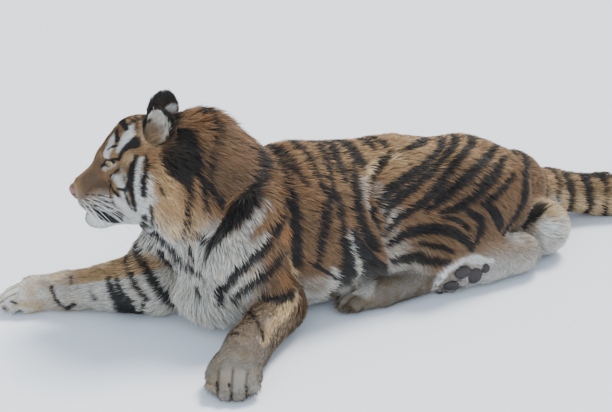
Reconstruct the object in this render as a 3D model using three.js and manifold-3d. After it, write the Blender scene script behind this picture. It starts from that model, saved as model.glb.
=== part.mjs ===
// Siberian (Amur) tiger lying on its chest with the hips rolled over, life size, millimetres.
// Head towards -X, tail towards +X, the animal's left side towards -Y, floor at z = 0.
// The body is one soft solid made of rounded cones and ellipsoids that melt into each other;
// it is parted into named lengths by thin gaps.
import * as THREE from 'three';
import * as BufferGeometryUtils from 'three/addons/utils/BufferGeometryUtils.js';
import Module from 'manifold-3d';

// ---------------------------------------------------------------- driving dimensions
const GAP = 8;                 // width of the parting gaps
const MELT_IN_PART = 20;       // softness of the joins inside one part
const MELT_BODY = 14;          // softness of the joins between parts
const MELT_HEAD = 9;           // softness of the joins in the face
const HEAD_AT = [-438, 95, 473];   // middle of the skull's hinge with the neck
const HEAD_YAW = 25;           // degrees the head is turned to the animal's right
const HEAD_PITCH = 13.5;       // degrees the nose is lowered
const HEAD_ROLL = 1.5;          // degrees the head leans over
const HEAD_SCALE = 1.13;       // a big male's head
const EYE_AT = [217, 53, 93];  // left eyeball in the head's own frame
const EYE_RADIUS = 16;
const GAZE = [10.7, 9.6, 0.3];   // from the eyeball out to the middle of its orbit's opening
const EAR_AT = [57, 88, 168];  // left ear in the head's own frame
const EAR_SIZE = [38, 46, 56];
const EAR_HOLLOW = [40, 36, 46];

// grid steps: how finely each region is drawn
const STEP = { trunk: 64, neck: 53, limb: 46, foot: 34, tail: 46, head: 29, jaw: 30, ear: 18, nose: 12 };
const TRIM = 1.5;               // least clearance where a coarse part would touch a finer one
const SCAN = 22;               // step of the scan that finds each part's extent

// coat and skin colours
const ORANGE = 0xb9702f, DEEP = 0xa7622a, CREAM = 0xe8ddc9, TAN = 0xb99a72, PINK = 0xb5766a;

// ---------------------------------------------------------------- small vector helpers
const sub = (a, b) => [a[0] - b[0], a[1] - b[1], a[2] - b[2]];
const dot = (a, b) => a[0] * b[0] + a[1] * b[1] + a[2] * b[2];
const clamp01 = (t) => Math.min(1, Math.max(0, t));

function softMin(values, melt) {
  let low = Infinity;
  for (const v of values) if (v < low) low = v;
  let sum = 0;
  for (const v of values) sum += Math.exp((low - v) / melt);
  return low - melt * Math.log(sum);
}

// ---------------------------------------------------------------- solid primitives
/** A rounded cone from a (radius ra) to b (radius rb). */
function cone(a, b, ra, rb) {
  const ab = sub(b, a), len2 = dot(ab, ab);
  return (p) => {
    const ap = sub(p, a), t = clamp01(dot(ap, ab) / len2);
    return Math.hypot(ap[0] - t * ab[0], ap[1] - t * ab[1], ap[2] - t * ab[2]) - ra - (rb - ra) * t;
  };
}

/** An ellipsoid; turn is an optional THREE.Matrix3 whose columns are its axes. */
function ball(c, r, turn) {
  const m = turn ? turn.elements : null;
  return (p) => {
    let q = sub(p, c);
    if (m) q = [dot(q, [m[0], m[1], m[2]]), dot(q, [m[3], m[4], m[5]]), dot(q, [m[6], m[7], m[8]])];
    const k0 = Math.hypot(q[0] / r[0], q[1] / r[1], q[2] / r[2]);
    const k1 = Math.hypot(q[0] / r[0] ** 2, q[1] / r[1] ** 2, q[2] / r[2] ** 2) + 1e-12;
    return k0 * (k0 - 1) / k1;
  };
}

const melted = (solids, melt) => (p) => softMin(solids.map((s) => s(p)), melt);
const bothSides = (make) => [make(1), make(-1)].flat();

function turned(...steps) {
  const m = new THREE.Matrix4();
  for (const [axis, degrees] of steps) {
    m.multiply(new THREE.Matrix4().makeRotationAxis(new THREE.Vector3(...axis), THREE.MathUtils.degToRad(degrees)));
  }
  return new THREE.Matrix3().setFromMatrix4(m);
}

// ---------------------------------------------------------------- the head's own frame: x forward, y left, z up
const headAxes = (() => {
  const rest = new THREE.Matrix4().makeBasis(
    new THREE.Vector3(-1, 0, 0), new THREE.Vector3(0, -1, 0), new THREE.Vector3(0, 0, 1));
  const spin = (axis, degrees) => new THREE.Matrix4().makeRotationAxis(
    new THREE.Vector3(...axis), THREE.MathUtils.degToRad(degrees));
  return spin([0, 0, 1], -HEAD_YAW).multiply(rest)
    .multiply(spin([0, 1, 0], HEAD_PITCH)).multiply(spin([1, 0, 0], HEAD_ROLL)).elements;
})();
const toHead = (p) => {
  const q = sub(p, HEAD_AT), e = headAxes;
  return [dot(q, [e[0], e[1], e[2]]) / HEAD_SCALE, dot(q, [e[4], e[5], e[6]]) / HEAD_SCALE,
    dot(q, [e[8], e[9], e[10]]) / HEAD_SCALE];
};
const fromHead = ([x, y, z]) => {
  const e = headAxes, s = HEAD_SCALE;
  return [0, 1, 2].map((i) => HEAD_AT[i] + s * (x * e[i] + y * e[4 + i] + z * e[8 + i]));
};
const onHead = (solid) => (p) => solid(toHead(p)) * HEAD_SCALE;

function ear(side) {
  const c = [EAR_AT[0], side * EAR_AT[1], EAR_AT[2]];
  const turn = turned([[0, 0, 1], side * 38], [[0, 1, 0], -8], [[1, 0, 0], -side * 22]);
  const e = turn.elements;
  const mouth = [0, 1, 2].map((i) => c[i] + 24 * e[i] + 4 * e[6 + i]);
  const shell = ball(c, EAR_SIZE, turn), hollow = ball(mouth, EAR_HOLLOW, turn);
  return (p) => Math.max(shell(p), -hollow(p));
}

// ---------------------------------------------------------------- the parts
const PARTS = [
  { name: 'head', step: STEP.head, colour: ORANGE, solid: onHead(melted([
    ball([95, 0, 84], [134, 100, 94]),                       // skull
    cone([140, 0, 114], [212, 0, 74], 78, 64),               // forehead
    cone([212, 0, 66], [322, 0, 28], 50, 35),                // bridge of the nose
    ball([20, 0, 40], [120, 105, 110]),                      // nape
    ...bothSides((s) => [
      ball([291, s * 34, -2], [55, 43, 40]),                 // whisker pad
      cone([290, s * 38, -20], [205, s * 62, -18], 32, 34),  // upper lip
      ball([148, s * 84, 8], [95, 56, 86]),                  // cheek
      ball([204, s * 50, 116], [34, 27, 20]),                // brow
    ])], MELT_HEAD)) },
  { name: 'lower_jaw', step: STEP.jaw, colour: CREAM, solid: onHead(melted([
    ball([305, 0, -72], [46, 42, 34]),
    ...bothSides((s) => cone([285, s * 8, -66], [120, s * 62, -55], 36, 60))], MELT_HEAD)) },
  { name: 'nose_leather', step: STEP.nose, colour: PINK, solid: onHead(melted([
    ball([348, 0, 26], [20, 27, 20]), ball([342, 0, 6], [17, 16, 16])], 6)) },
  { name: 'ear_left', step: STEP.ear, colour: DEEP, solid: onHead(ear(1)) },
  { name: 'ear_right', step: STEP.ear, colour: DEEP, solid: onHead(ear(-1)) },
  { name: 'neck', step: STEP.neck, colour: ORANGE, solid: melted([
    cone([-428, 85, 532], [-325, 45, 400], 142, 150), cone([-400, 60, 400], [-330, 20, 320], 190, 205),
    onHead(melted([                                          // ruff and throat
      ...bothSides((s) => [
        cone([95, s * 100, 40], [85, s * 105, -90], 52, 62),
        cone([40, s * 95, 60], [20, s * 100, -110], 60, 75)]),
      cone([60, 0, -90], [165, 0, -100], 85, 48)], 18))], MELT_IN_PART) },
  { name: 'chest', step: STEP.trunk, colour: ORANGE, solid: melted([
    cone([-380, 10, 275], [-130, 20, 275], 188, 238), ball([-420, -10, 185], [130, 165, 188]),
    ball([-270, 20, 372], [165, 130, 118]), ball([-450, -58, 110], [128, 150, 104])], MELT_IN_PART) },
  { name: 'belly', step: STEP.trunk, colour: ORANGE, solid: melted([
    cone([-150, 20, 280], [250, 40, 258], 240, 218), cone([-100, 10, 215], [250, 0, 200], 215, 195),
    cone([-150, -25, 150], [180, -40, 140], 160, 150)], MELT_IN_PART) },
  { name: 'rump', step: STEP.trunk, colour: ORANGE, solid: melted([
    cone([250, 40, 258], [560, 80, 222], 218, 190), cone([560, 80, 222], [800, 125, 182], 190, 135),
    cone([300, 50, 160], [700, 100, 128], 167, 134), ball([794, -100, 100], [95, 90, 84])], MELT_IN_PART) },
  { name: 'tail_base', step: STEP.tail, colour: ORANGE, solid: cone([820, 135, 185], [1010, 165, 112], 88, 80) },
  { name: 'tail_middle', step: STEP.tail, colour: ORANGE, solid: cone([1010, 165, 112], [1230, 120, 74], 80, 76) },
  { name: 'tail_end', step: STEP.tail, colour: DEEP, solid: cone([1230, 120, 74], [1440, -20, 54], 76, 58) },
  { name: 'upper_arm_left', step: STEP.limb, colour: ORANGE, solid: melted([
    cone([-430, -150, 270], [-315, -222, 122], 105, 82), ball([-345, -145, 300], [115, 78, 180])], MELT_IN_PART) },
  { name: 'forearm_left', step: STEP.limb, colour: TAN, solid: cone([-305, -236, 86], [-505, -410, 66], 82, 64) },
  { name: 'forepaw_left', step: STEP.foot, colour: TAN, solid: melted([
    cone([-500, -405, 64], [-578, -486, 54], 66, 66), ball([-600, -522, 44], [82, 86, 47])], MELT_IN_PART) },
  { name: 'upper_arm_right', step: STEP.limb, colour: ORANGE, solid: cone([-470, 150, 270], [-560, 140, 140], 110, 110) },
  { name: 'forearm_right', step: STEP.limb, colour: CREAM, solid: cone([-590, 92, 106], [-835, 258, 58], 111, 62) },
  { name: 'forepaw_right', step: STEP.foot, colour: TAN, solid: melted([
    cone([-840, 270, 58], [-930, 310, 48], 60, 58), ball([-970, 330, 42], [85, 75, 44])], MELT_IN_PART) },
  { name: 'thigh_left', step: STEP.limb + 7, colour: ORANGE, solid: melted([
    ball([440, -60, 240], [215, 160, 200], turned([[0, 1, 0], 14])),
    cone([600, -20, 245], [320, -150, 165], 165, 125)], MELT_IN_PART) },
  { name: 'shank_left', step: STEP.limb, colour: ORANGE, solid: cone([300, -168, 115], [625, -200, 78], 98, 66) },
  { name: 'hind_foot_left', step: STEP.foot, colour: CREAM, solid: melted([
    cone([655, -198, 66], [480, -225, 58], 56, 52), ball([380, -215, 56], [85, 46, 56])], MELT_IN_PART) },
  { name: 'thigh_right', step: STEP.limb + 7, colour: CREAM, solid: cone([640, 110, 140], [380, -70, 90], 135, 92) },
  { name: 'hind_foot_right', step: STEP.foot, colour: TAN, solid: melted([
    cone([330, -190, 60], [90, -215, 48], 55, 48), ball([0, -205, 44], [90, 52, 46])], MELT_IN_PART) },
];

// ---------------------------------------------------------------- the parted fields
/** Every part's own field at p, and the whole body's field. */
function fieldsAt(p) {
  const own = PARTS.map((part) => part.solid(p));
  return { own, whole: softMin(own, MELT_BODY) };
}

/** How much nearer p is to part i than to any other part (negative inside its share). */
function share(own, i) {
  let rival = Infinity;
  own.forEach((v, j) => { if (j !== i && v < rival) rival = v; });
  return own[i] - rival;
}

/** The field of part i: inside the body, above the floor, on its own side of the parting gaps. */
function partField(i) {
  const d = 0.5, far = 4 * PARTS[i].step;
  return (p) => {
    const { own, whole } = fieldsAt(p);
    const body = Math.max(whole, -p[2]), here = share(own, i);
    if (body > far || here < -far) return body;
    if (here > far) return Math.max(body, here / 2);
    const slope = [0, 1, 2].map((k) => {
      const q = [...p];
      q[k] += d;
      return (share(fieldsAt(q).own, i) - here) / d;
    });
    return Math.max(body, here / (Math.hypot(...slope) + 1e-3) + GAP / 2);
  };
}

/** One scan of the space around the body gives the extent of every part's share. */
function scanExtents() {
  const boxes = PARTS.map(() => new THREE.Box3());
  for (let x = -1120; x <= 1560; x += SCAN) {
    for (let y = -680; y <= 460; y += SCAN) {
      for (let z = 3; z <= 780; z += SCAN) {
        const { own, whole } = fieldsAt([x, y, z]);
        if (whole > SCAN) continue;
        const nearest = Math.min(...own) + SCAN;
        own.forEach((v, i) => { if (v < nearest) boxes[i].expandByPoint(new THREE.Vector3(x, y, z)); });
      }
    }
  }
  return boxes.map((box) => box.expandByScalar(SCAN));
}

// ---------------------------------------------------------------- drawing a field as a closed mesh
/** Shifts the grid a little until every edge is shared by exactly two faces. */
function cleanlyNetted(field, box, step) {
  for (const shift of [0.37, 0.13, 0.59, 0.83, 0.26, 0.71]) {
    const geometry = netted(field, box, step, shift);
    if (isClosed(geometry.index.array)) return geometry;
  }
  throw new Error('no clean grid for a part');
}

function isClosed(index) {
  const uses = new Map();
  for (let t = 0; t < index.length; t += 3) {
    for (let k = 0; k < 3; k++) {
      const a = index[t + k], b = index[t + (k + 1) % 3], key = Math.min(a, b) * 1e6 + Math.max(a, b);
      uses.set(key, (uses.get(key) ?? 0) + 1);
    }
  }
  return [...uses.values()].every((count) => count === 2);
}

// the 12 edges of a grid cell as [corner, axis], and the 4 edges round each of its 6 faces
const CELL_EDGES = [0, 1, 2].flatMap((axis) => [0, 1].flatMap((u) => [0, 1].map((v) => {
  const corner = [0, 0, 0];
  corner[(axis + 1) % 3] = u;
  corner[(axis + 2) % 3] = v;
  return { axis, corner };
})));
const edgeNumber = (axis, corner) => axis * 4 + corner[(axis + 1) % 3] * 2 + corner[(axis + 2) % 3];
const CELL_FACES = [0, 1, 2].flatMap((normal) => [0, 1].map((side) =>
  [[0, 0], [1, 0], [1, 1], [0, 1]].map(([u, v]) => {
    const corner = [0, 0, 0], a = (normal + 1) % 3, b = (normal + 2) % 3;
    corner[normal] = side;
    corner[a] = u;
    corner[b] = v;
    const low = (axis) => corner.map((c, k) => (k === axis ? 0 : c));
    return { corner, edges: [edgeNumber(a, low(a)), edgeNumber(b, low(b))] };
  })));

/** Groups the crossed edges of one cell into the sheets of surface that pass through it. */
function sheetsOf(valueAt) {
  const inside = (c) => valueAt(c) < 0;
  const group = CELL_EDGES.map(({ axis, corner }, e) => {
    const end = [...corner];
    end[axis] = 1;
    return inside(corner) !== inside(end) ? e : -1;
  });
  const join = (a, b) => {
    const [from, to] = [group[a], group[b]];
    if (from >= 0 && to >= 0) group.forEach((g, e) => { if (g === from) group[e] = to; });
  };
  for (const face of CELL_FACES) {
    const crossed = [...new Set(face.flatMap((c) => c.edges))].filter((e) => group[e] >= 0);
    if (crossed.length === 2) join(...crossed);
    if (crossed.length === 4) face.filter((c) => inside(c.corner)).forEach((c) => join(...c.edges));
  }
  return group;
}

/** One vertex per sheet in a cell, one quad per crossed grid edge, drawn onto the surface. */
function netted(field, box, step, shift) {
  const n = ['x', 'y', 'z'].map((k) => Math.ceil((box.max[k] - box.min[k]) / step) + 3);
  const origin = box.min.toArray().map((c) => step * (Math.floor(c / step) - shift));
  const at = (i, j, k) => (i * n[1] + j) * n[2] + k;
  const value = new Float64Array(n[0] * n[1] * n[2]).fill(1e3);
  for (let i = 1; i < n[0] - 1; i++) for (let j = 1; j < n[1] - 1; j++) for (let k = 1; k < n[2] - 1; k++) {
    value[at(i, j, k)] = field([origin[0] + i * step, origin[1] + j * step, origin[2] + k * step]);
  }
  const vertexOf = new Map(), points = [];
  for (let i = 0; i < n[0] - 1; i++) for (let j = 0; j < n[1] - 1; j++) for (let k = 0; k < n[2] - 1; k++) {
    const valueAt = (c) => value[at(i + c[0], j + c[1], k + c[2])];
    const group = sheetsOf(valueAt);
    for (const sheet of new Set(group.filter((g) => g >= 0))) {
      const sum = [0, 0, 0], members = CELL_EDGES.filter((_, e) => group[e] === sheet);
      for (const { axis, corner } of members) {
        const end = [...corner];
        end[axis] = 1;
        const crossing = valueAt(corner) / (valueAt(corner) - valueAt(end));
        corner.forEach((c, m) => { sum[m] += m === axis ? crossing : c; });
      }
      group.forEach((g, e) => { if (g === sheet) vertexOf.set(at(i, j, k) * 12 + e, points.length); });
      points.push([i, j, k].map((c, m) => origin[m] + step * (c + sum[m] / members.length)));
    }
  }
  points.forEach((p) => settle(p, field, step));
  const index = [];
  for (let i = 1; i < n[0] - 1; i++) for (let j = 1; j < n[1] - 1; j++) for (let k = 1; k < n[2] - 1; k++) {
    const here = value[at(i, j, k)] < 0;
    for (let axis = 0; axis < 3; axis++) {
      const next = [i, j, k];
      next[axis]++;
      if (here === (value[at(...next)] < 0)) continue;
      const ring = [[1, 1], [0, 1], [0, 0], [1, 0]].map(([u, v]) => {
        const cell = [i, j, k], corner = [0, 0, 0];
        cell[(axis + 1) % 3] -= u;
        cell[(axis + 2) % 3] -= v;
        corner[(axis + 1) % 3] = u;
        corner[(axis + 2) % 3] = v;
        return vertexOf.get(at(...cell) * 12 + edgeNumber(axis, corner));
      });
      if (!here) ring.reverse();
      const [a, b, c, d] = ring.map((m) => new THREE.Vector3(...points[m]));
      if (a.distanceTo(c) <= b.distanceTo(d)) index.push(ring[0], ring[1], ring[2], ring[0], ring[2], ring[3]);
      else index.push(ring[0], ring[1], ring[3], ring[1], ring[2], ring[3]);
    }
  }
  return largestShell(points, index);
}

/** Moves a vertex onto the surface without letting it leave its cell by much. */
function settle(p, field, step) {
  const start = [...p], d = 0.4;
  for (let turn = 0; turn < 3; turn++) {
    const f = field(p);
    const slope = [0, 1, 2].map((k) => {
      const q = [...p];
      q[k] += d;
      return (field(q) - f) / d;
    });
    const s2 = Math.max(dot(slope, slope), 0.2);
    for (let k = 0; k < 3; k++) {
      p[k] -= 0.9 * f * slope[k] / s2;
      p[k] = Math.min(start[k] + 0.45 * step, Math.max(start[k] - 0.45 * step, p[k]));
    }
  }
  if (p[2] < 1.2) p[2] = 0;
}

/** Keeps the largest closed shell of a mesh. */
function largestShell(points, index) {
  const parent = points.map((_, i) => i);
  const root = (i) => {
    while (parent[i] !== i) i = parent[i] = parent[parent[i]];
    return i;
  };
  for (let t = 0; t < index.length; t += 3) {
    parent[root(index[t])] = root(index[t + 1]);
    parent[root(index[t])] = root(index[t + 2]);
  }
  const size = new Map();
  for (let t = 0; t < index.length; t += 3) size.set(root(index[t]), (size.get(root(index[t])) ?? 0) + 1);
  const best = [...size].sort((a, b) => b[1] - a[1])[0][0];
  const kept = [], renumber = new Map(), position = [];
  for (let t = 0; t < index.length; t += 3) {
    if (root(index[t]) !== best) continue;
    for (const v of index.slice(t, t + 3)) {
      if (!renumber.has(v)) {
        renumber.set(v, renumber.size);
        position.push(...points[v]);
      }
      kept.push(renumber.get(v));
    }
  }
  const geometry = new THREE.BufferGeometry();
  geometry.setAttribute('position', new THREE.Float32BufferAttribute(position, 3));
  geometry.setIndex(kept);
  return geometry;
}

// ---------------------------------------------------------------- cutting the eye sockets out of the head
const wasm = await Module();
wasm.setup();
function asSolid(geometry) {
  const welded = BufferGeometryUtils.mergeVertices(geometry, 1e-4);
  const mesh = new wasm.Mesh({ numProp: 3, vertProperties: new Float32Array(welded.attributes.position.array),
    triVerts: new Uint32Array(welded.index.array) });
  mesh.merge();
  return new wasm.Manifold(mesh);
}
function asGeometry(solid) {
  const mesh = solid.getMesh(), g = new THREE.BufferGeometry();
  g.setAttribute('position', new THREE.Float32BufferAttribute(mesh.vertProperties, 3));
  g.setIndex([...mesh.triVerts]);
  return g;
}
const ballGeometry = (r, at, wide = 12, high = 8) => {
  const g = new THREE.SphereGeometry(r, wide, high);
  g.deleteAttribute('uv');
  g.deleteAttribute('normal');
  return g.translate(...at);
};

/** The same closed mesh with every vertex pushed outwards a little. */
function grown(geometry, by) {
  const g = geometry.clone();
  g.computeVertexNormals();
  const { position, normal } = g.attributes;
  for (let v = 0; v < position.count; v++) {
    position.setXYZ(v, position.getX(v) + by * normal.getX(v), position.getY(v) + by * normal.getY(v),
      position.getZ(v) + by * normal.getZ(v));
  }
  g.deleteAttribute('normal');
  return g;
}
const largestBody = (solid) => solid.decompose().sort((a, b) => b.volume() - a.volume())[0];

// ---------------------------------------------------------------- assembly
function named(name, geometry, colour, roughness = 0.85) {
  const g = geometry.clone();
  g.computeVertexNormals();
  const mesh = new THREE.Mesh(g, new THREE.MeshStandardMaterial({ color: colour, roughness, metalness: 0, flatShading: false }));
  mesh.material.name = name;
  mesh.name = name;
  return mesh;
}

const tiger = new THREE.Group();
tiger.name = 'siberian_tiger';
const eyes = [['eye_left', 1], ['eye_right', -1]].map(([name, side]) =>
  [name, fromHead([EYE_AT[0], side * EYE_AT[1], EYE_AT[2]])]);
const extents = scanExtents();
const pieces = PARTS.map((part, i) => ({ ...part, geometry: cleanlyNetted(partField(i), extents[i], part.step) }));
const skull = pieces.find((piece) => piece.name === 'head');
const openings = [1, -1].map((side) => fromHead([EYE_AT[0] + GAZE[0], side * (EYE_AT[1] + GAZE[1]), EYE_AT[2] + GAZE[2]]));
for (const at of [...openings, ...eyes.map(([, centre]) => centre)])
  skull.geometry = asGeometry(largestBody(asSolid(skull.geometry).subtract(asSolid(ballGeometry(EYE_RADIUS + 1, at)))));

// finest first: a coarser neighbour is trimmed back wherever its flat facets would cross a finer one
const finestFirst = [...pieces].sort((a, b) => a.step - b.step);
finestFirst.forEach((fine, i) => {
  for (const coarse of finestFirst.slice(i + 1)) {
    const whole = asSolid(coarse.geometry), cutter = asSolid(grown(fine.geometry, TRIM));
    if (whole.intersect(cutter).volume() > 0) coarse.geometry = asGeometry(largestBody(whole.subtract(cutter)));
  }
});
for (const piece of pieces) tiger.add(named(piece.name, piece.geometry, piece.colour));
for (const [name, at] of eyes) tiger.add(named(name, ballGeometry(EYE_RADIUS, at, 12, 8), 0xb58a3a, 0.2));

export default tiger;
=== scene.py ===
import math

import bmesh
import bpy
import numpy as np
from bpy.props import FloatProperty, FloatVectorProperty, IntProperty, PointerProperty
from mathutils import Matrix, Vector


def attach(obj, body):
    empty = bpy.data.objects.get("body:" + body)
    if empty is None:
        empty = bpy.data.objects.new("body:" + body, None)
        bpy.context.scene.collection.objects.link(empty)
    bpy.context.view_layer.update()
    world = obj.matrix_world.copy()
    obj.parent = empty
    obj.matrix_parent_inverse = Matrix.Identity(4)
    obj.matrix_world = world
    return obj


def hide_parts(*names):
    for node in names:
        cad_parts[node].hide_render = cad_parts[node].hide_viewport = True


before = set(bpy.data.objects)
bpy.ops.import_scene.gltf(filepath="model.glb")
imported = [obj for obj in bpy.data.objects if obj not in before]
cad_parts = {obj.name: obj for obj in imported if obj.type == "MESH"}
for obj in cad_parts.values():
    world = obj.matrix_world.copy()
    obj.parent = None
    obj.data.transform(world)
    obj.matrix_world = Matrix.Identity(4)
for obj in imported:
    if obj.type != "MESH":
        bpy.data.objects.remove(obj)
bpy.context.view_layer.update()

bl_info = {
    "name": "Resting Tiger",
    "version": (1, 0, 0),
    "blender": (4, 5, 0),
    "location": "View3D > Sidebar > Tiger",
    "description": "Builds a life-size resting tiger with a striped winter coat",
    "category": "Object",
}

# ------------------------------------------------------------------ units
# Shapes are worked out in millimetres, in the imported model's frame
# (head towards -X, tail towards +X, the animal's left towards -Y), and
# written to Blender in metres.
MM = 0.001
RNG_SEED = 41

# ------------------------------------------------------------------ view
VIEW_AZIMUTH = -28.0
VIEW_ELEVATION = 22.0
VIEW_DISTANCE = 5000.0
VIEW_TARGET = (0.0, 0.0, 250.0)
VIEW_LENS = 88.0
VIEW_SHIFT = (-0.04, 0.02)
VIEW_SIZE = (612, 412)
FLOOR_FLAT, FLOOR_REACH, FLOOR_RISE = 14.0, 44.0, 17.0     # metres
SENSOR = 36.0                     # mm

# ------------------------------------------------------------------ light
KEY_POWER, KEY_ANGLE = 4.6, 20.0                             # W/m2, degrees
KEY_COLOUR, KEY_FROM = (1.0, 0.93, 0.83), (0.52, 0.30, 0.80)
FILL_POWER, FILL_SIZE = 70, 3.0                              # W, metres
FILL_COLOUR, FILL_AT, FILL_TARGET = (0.82, 0.91, 1.0), (-3.6, -3.8, 2.2), (0.1, 0.0, 0.2)
SKY_COLOUR, SKY_STRENGTH = (0.76, 0.87, 1.0), 1.0


def view_axes():
    a, e = math.radians(VIEW_AZIMUTH), math.radians(VIEW_ELEVATION)
    back = np.array([math.sin(a) * math.cos(e), -math.cos(a) * math.cos(e), math.sin(e)])
    right = np.array([math.cos(a), math.sin(a), 0.0])
    up = np.cross(back, right)
    eye = np.array(VIEW_TARGET) + back * VIEW_DISTANCE
    return eye, right, up, back


# ------------------------------------------------------------------ soft solids
def vec(*a):
    return np.array(a, float)


def unit(v):
    return v / (np.linalg.norm(v, axis=-1, keepdims=True) + 1e-9)


def cone(p, a, b, ra, rb):
    a, b = np.asarray(a, float), np.asarray(b, float)
    ab = b - a
    t = np.clip(((p - a) @ ab) / (ab @ ab), 0, 1)
    return np.linalg.norm(p - a - t[:, None] * ab, axis=1) - ra - (rb - ra) * t


def ball(p, c, r, turn=None):
    q = p - np.asarray(c, float)
    if turn is not None:
        q = q @ turn
    r = np.asarray(r, float)
    k0 = np.linalg.norm(q / r, axis=1)
    k1 = np.linalg.norm(q / (r * r), axis=1) + 1e-12
    return k0 * (k0 - 1) / k1


def soft_min(fields, melt):
    fields = np.stack(fields)
    low = fields.min(0)
    return low - melt * np.log(np.exp((low - fields) / melt).sum(0))


def soft_max(a, b, melt):
    return -soft_min([-a, -b], melt)


def spin(axis, degrees):
    return np.array(Matrix.Rotation(math.radians(degrees), 3, Vector(axis)))


# ------------------------------------------------------------------ the head's own frame
HEAD_AT = vec(-438, 95, 473)
HEAD_YAW, HEAD_PITCH, HEAD_ROLL = 25.0, 13.5, 1.5
HEAD_SCALE = 1.13
HEAD_AXES = (spin((0, 0, 1), -HEAD_YAW)
             @ np.array([[-1, 0, 0], [0, -1, 0], [0, 0, 1]]).T
             @ spin((0, 1, 0), HEAD_PITCH) @ spin((1, 0, 0), HEAD_ROLL))
EYE = vec(217, 52, 93)          # left eyeball, head units
EYE_R = 15.6
GAZE = unit(vec(0.62, 0.78, 0.05))
EAR = vec(57, 88, 168)
EAR_HOLLOW, EAR_HOLLOW_SIZE = vec(24, 0, 4), vec(40, 36, 46)     # its middle from the ear's, and its radii
EAR_TURNS = {s: spin((0, 0, 1), s * 56) @ spin((0, 1, 0), -8) @ spin((1, 0, 0), -s * 22) for s in (1, -1)}


def to_head(p):
    return (p - HEAD_AT) @ HEAD_AXES / HEAD_SCALE


def from_head(q):
    return np.asarray(q, float) * HEAD_SCALE @ HEAD_AXES.T + HEAD_AT


def sided(q, side):
    return np.asarray(q, float) * np.array([1, side, 1])


# ------------------------------------------------------------------ the body's limbs
# name: (solids, coat length mm, coat depth mm, lie of the coat)
# a solid is ("cone", a, b, ra, rb) or ("ball", centre, radii, turn)
THIGH_TURN = spin((0, 1, 0), 14)
LIMBS = {
    "neck": ([("cone", (-428, 85, 532), (-325, 45, 400), 142, 150),
              ("cone", (-400, 60, 400), (-330, 20, 320), 190, 205)], 74, 24, (0.60, -0.10, -0.62)),
    "chest": ([("cone", (-380, 10, 275), (-130, 20, 275), 188, 238),
               ("ball", (-420, -10, 185), (130, 165, 188), None),
               ("ball", (-270, 20, 372), (165, 130, 118), None),
               ("ball", (-450, -58, 110), (128, 150, 104), None)], 60, 21, (0.55, 0.0, -0.70)),
    "belly": ([("cone", (-150, 20, 280), (250, 40, 258), 240, 218),
               ("cone", (-100, 10, 215), (250, 0, 200), 215, 195),
               ("cone", (-150, -25, 150), (180, -40, 140), 160, 150)], 38, 13, (0.86, 0.0, -0.42)),
    "rump": ([("cone", (250, 40, 258), (560, 80, 222), 218, 190),
              ("cone", (560, 80, 222), (800, 125, 182), 190, 135),
              ("cone", (300, 50, 160), (700, 100, 128), 167, 134),
              ("ball", (794, -100, 100), (95, 90, 84), None),
              ("cone", (775, -85, 98), (640, 0, 125), 76, 100),
              ("cone", (800, -92, 98), (785, 55, 108), 80, 96)],
             36, 12, (0.85, 0.05, -0.45)),
    "tail_base": ([("cone", (820, 135, 185), (1010, 165, 112), 88, 80)], 40, 14, (0.9, 0.15, -0.35)),
    "tail_middle": ([("cone", (1010, 165, 112), (1230, 120, 74), 80, 76)], 38, 14, (0.95, -0.2, -0.15)),
    "tail_end": ([("cone", (1230, 120, 74), (1440, -20, 54), 76, 58)], 38, 14, (0.83, -0.55, -0.08)),
    "upper_arm_left": ([("cone", (-430, -150, 270), (-315, -222, 122), 105, 82),
                        ("ball", (-345, -145, 300), (115, 78, 180), None)], 38, 12, (0.18, -0.1, -0.95)),
    "forearm_left": ([("cone", (-305, -236, 86), (-505, -410, 66), 82, 64)], 26, 9, (-0.70, -0.66, -0.20)),
    "forepaw_left": ([("cone", (-500, -405, 64), (-578, -486, 54), 66, 66),
                      ("ball", (-600, -522, 44), (82, 86, 47), None)], 13, 5, (-0.60, -0.75, -0.25)),
    "upper_arm_right": ([("cone", (-470, 150, 270), (-560, 140, 140), 110, 110)], 46, 15,
                        (-0.35, 0.0, -0.9)),
    "forearm_right": ([("cone", (-590, 92, 106), (-835, 258, 58), 111, 62)], 28, 9, (-0.80, 0.45, -0.25)),
    "forepaw_right": ([("cone", (-840, 270, 58), (-930, 310, 48), 60, 58),
                       ("ball", (-970, 330, 42), (85, 75, 44), None)], 13, 5, (-0.90, 0.35, -0.20)),
    "thigh_left": ([("ball", (440, -60, 240), (215, 160, 200), THIGH_TURN),
                    ("cone", (600, -20, 245), (320, -150, 165), 165, 125)], 34, 11, (0.55, -0.15, -0.75)),
    "shank_left": ([("cone", (300, -168, 115), (625, -200, 78), 98, 66)], 28, 10, (0.95, -0.05, -0.25)),
    "hind_foot_left": ([("cone", (655, -198, 66), (480, -225, 58), 56, 52),
                        ("ball", (380, -215, 56), (85, 46, 56), None)], 13, 5, (-0.97, -0.1, -0.12)),
    "thigh_right": ([("cone", (640, 110, 140), (380, -70, 90), 135, 92)], 34, 12, (-0.6, -0.5, -0.5)),
    "hind_foot_right": ([("cone", (330, -190, 60), (90, -215, 48), 55, 48),
                         ("ball", (0, -205, 44), (90, 52, 46), None)], 12, 5, (-0.98, -0.05, -0.10)),
}
HEAD_PARTS = {"head": (14, 4.5), "lower_jaw": (20, 6), "ruff": (62, 20), "ear_left": (9, 3.5),
              "ear_right": (9, 3.5)}
MELT_IN_PART, MELT_BODY, MELT_HEAD = 20.0, 14.0, 9.0


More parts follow.
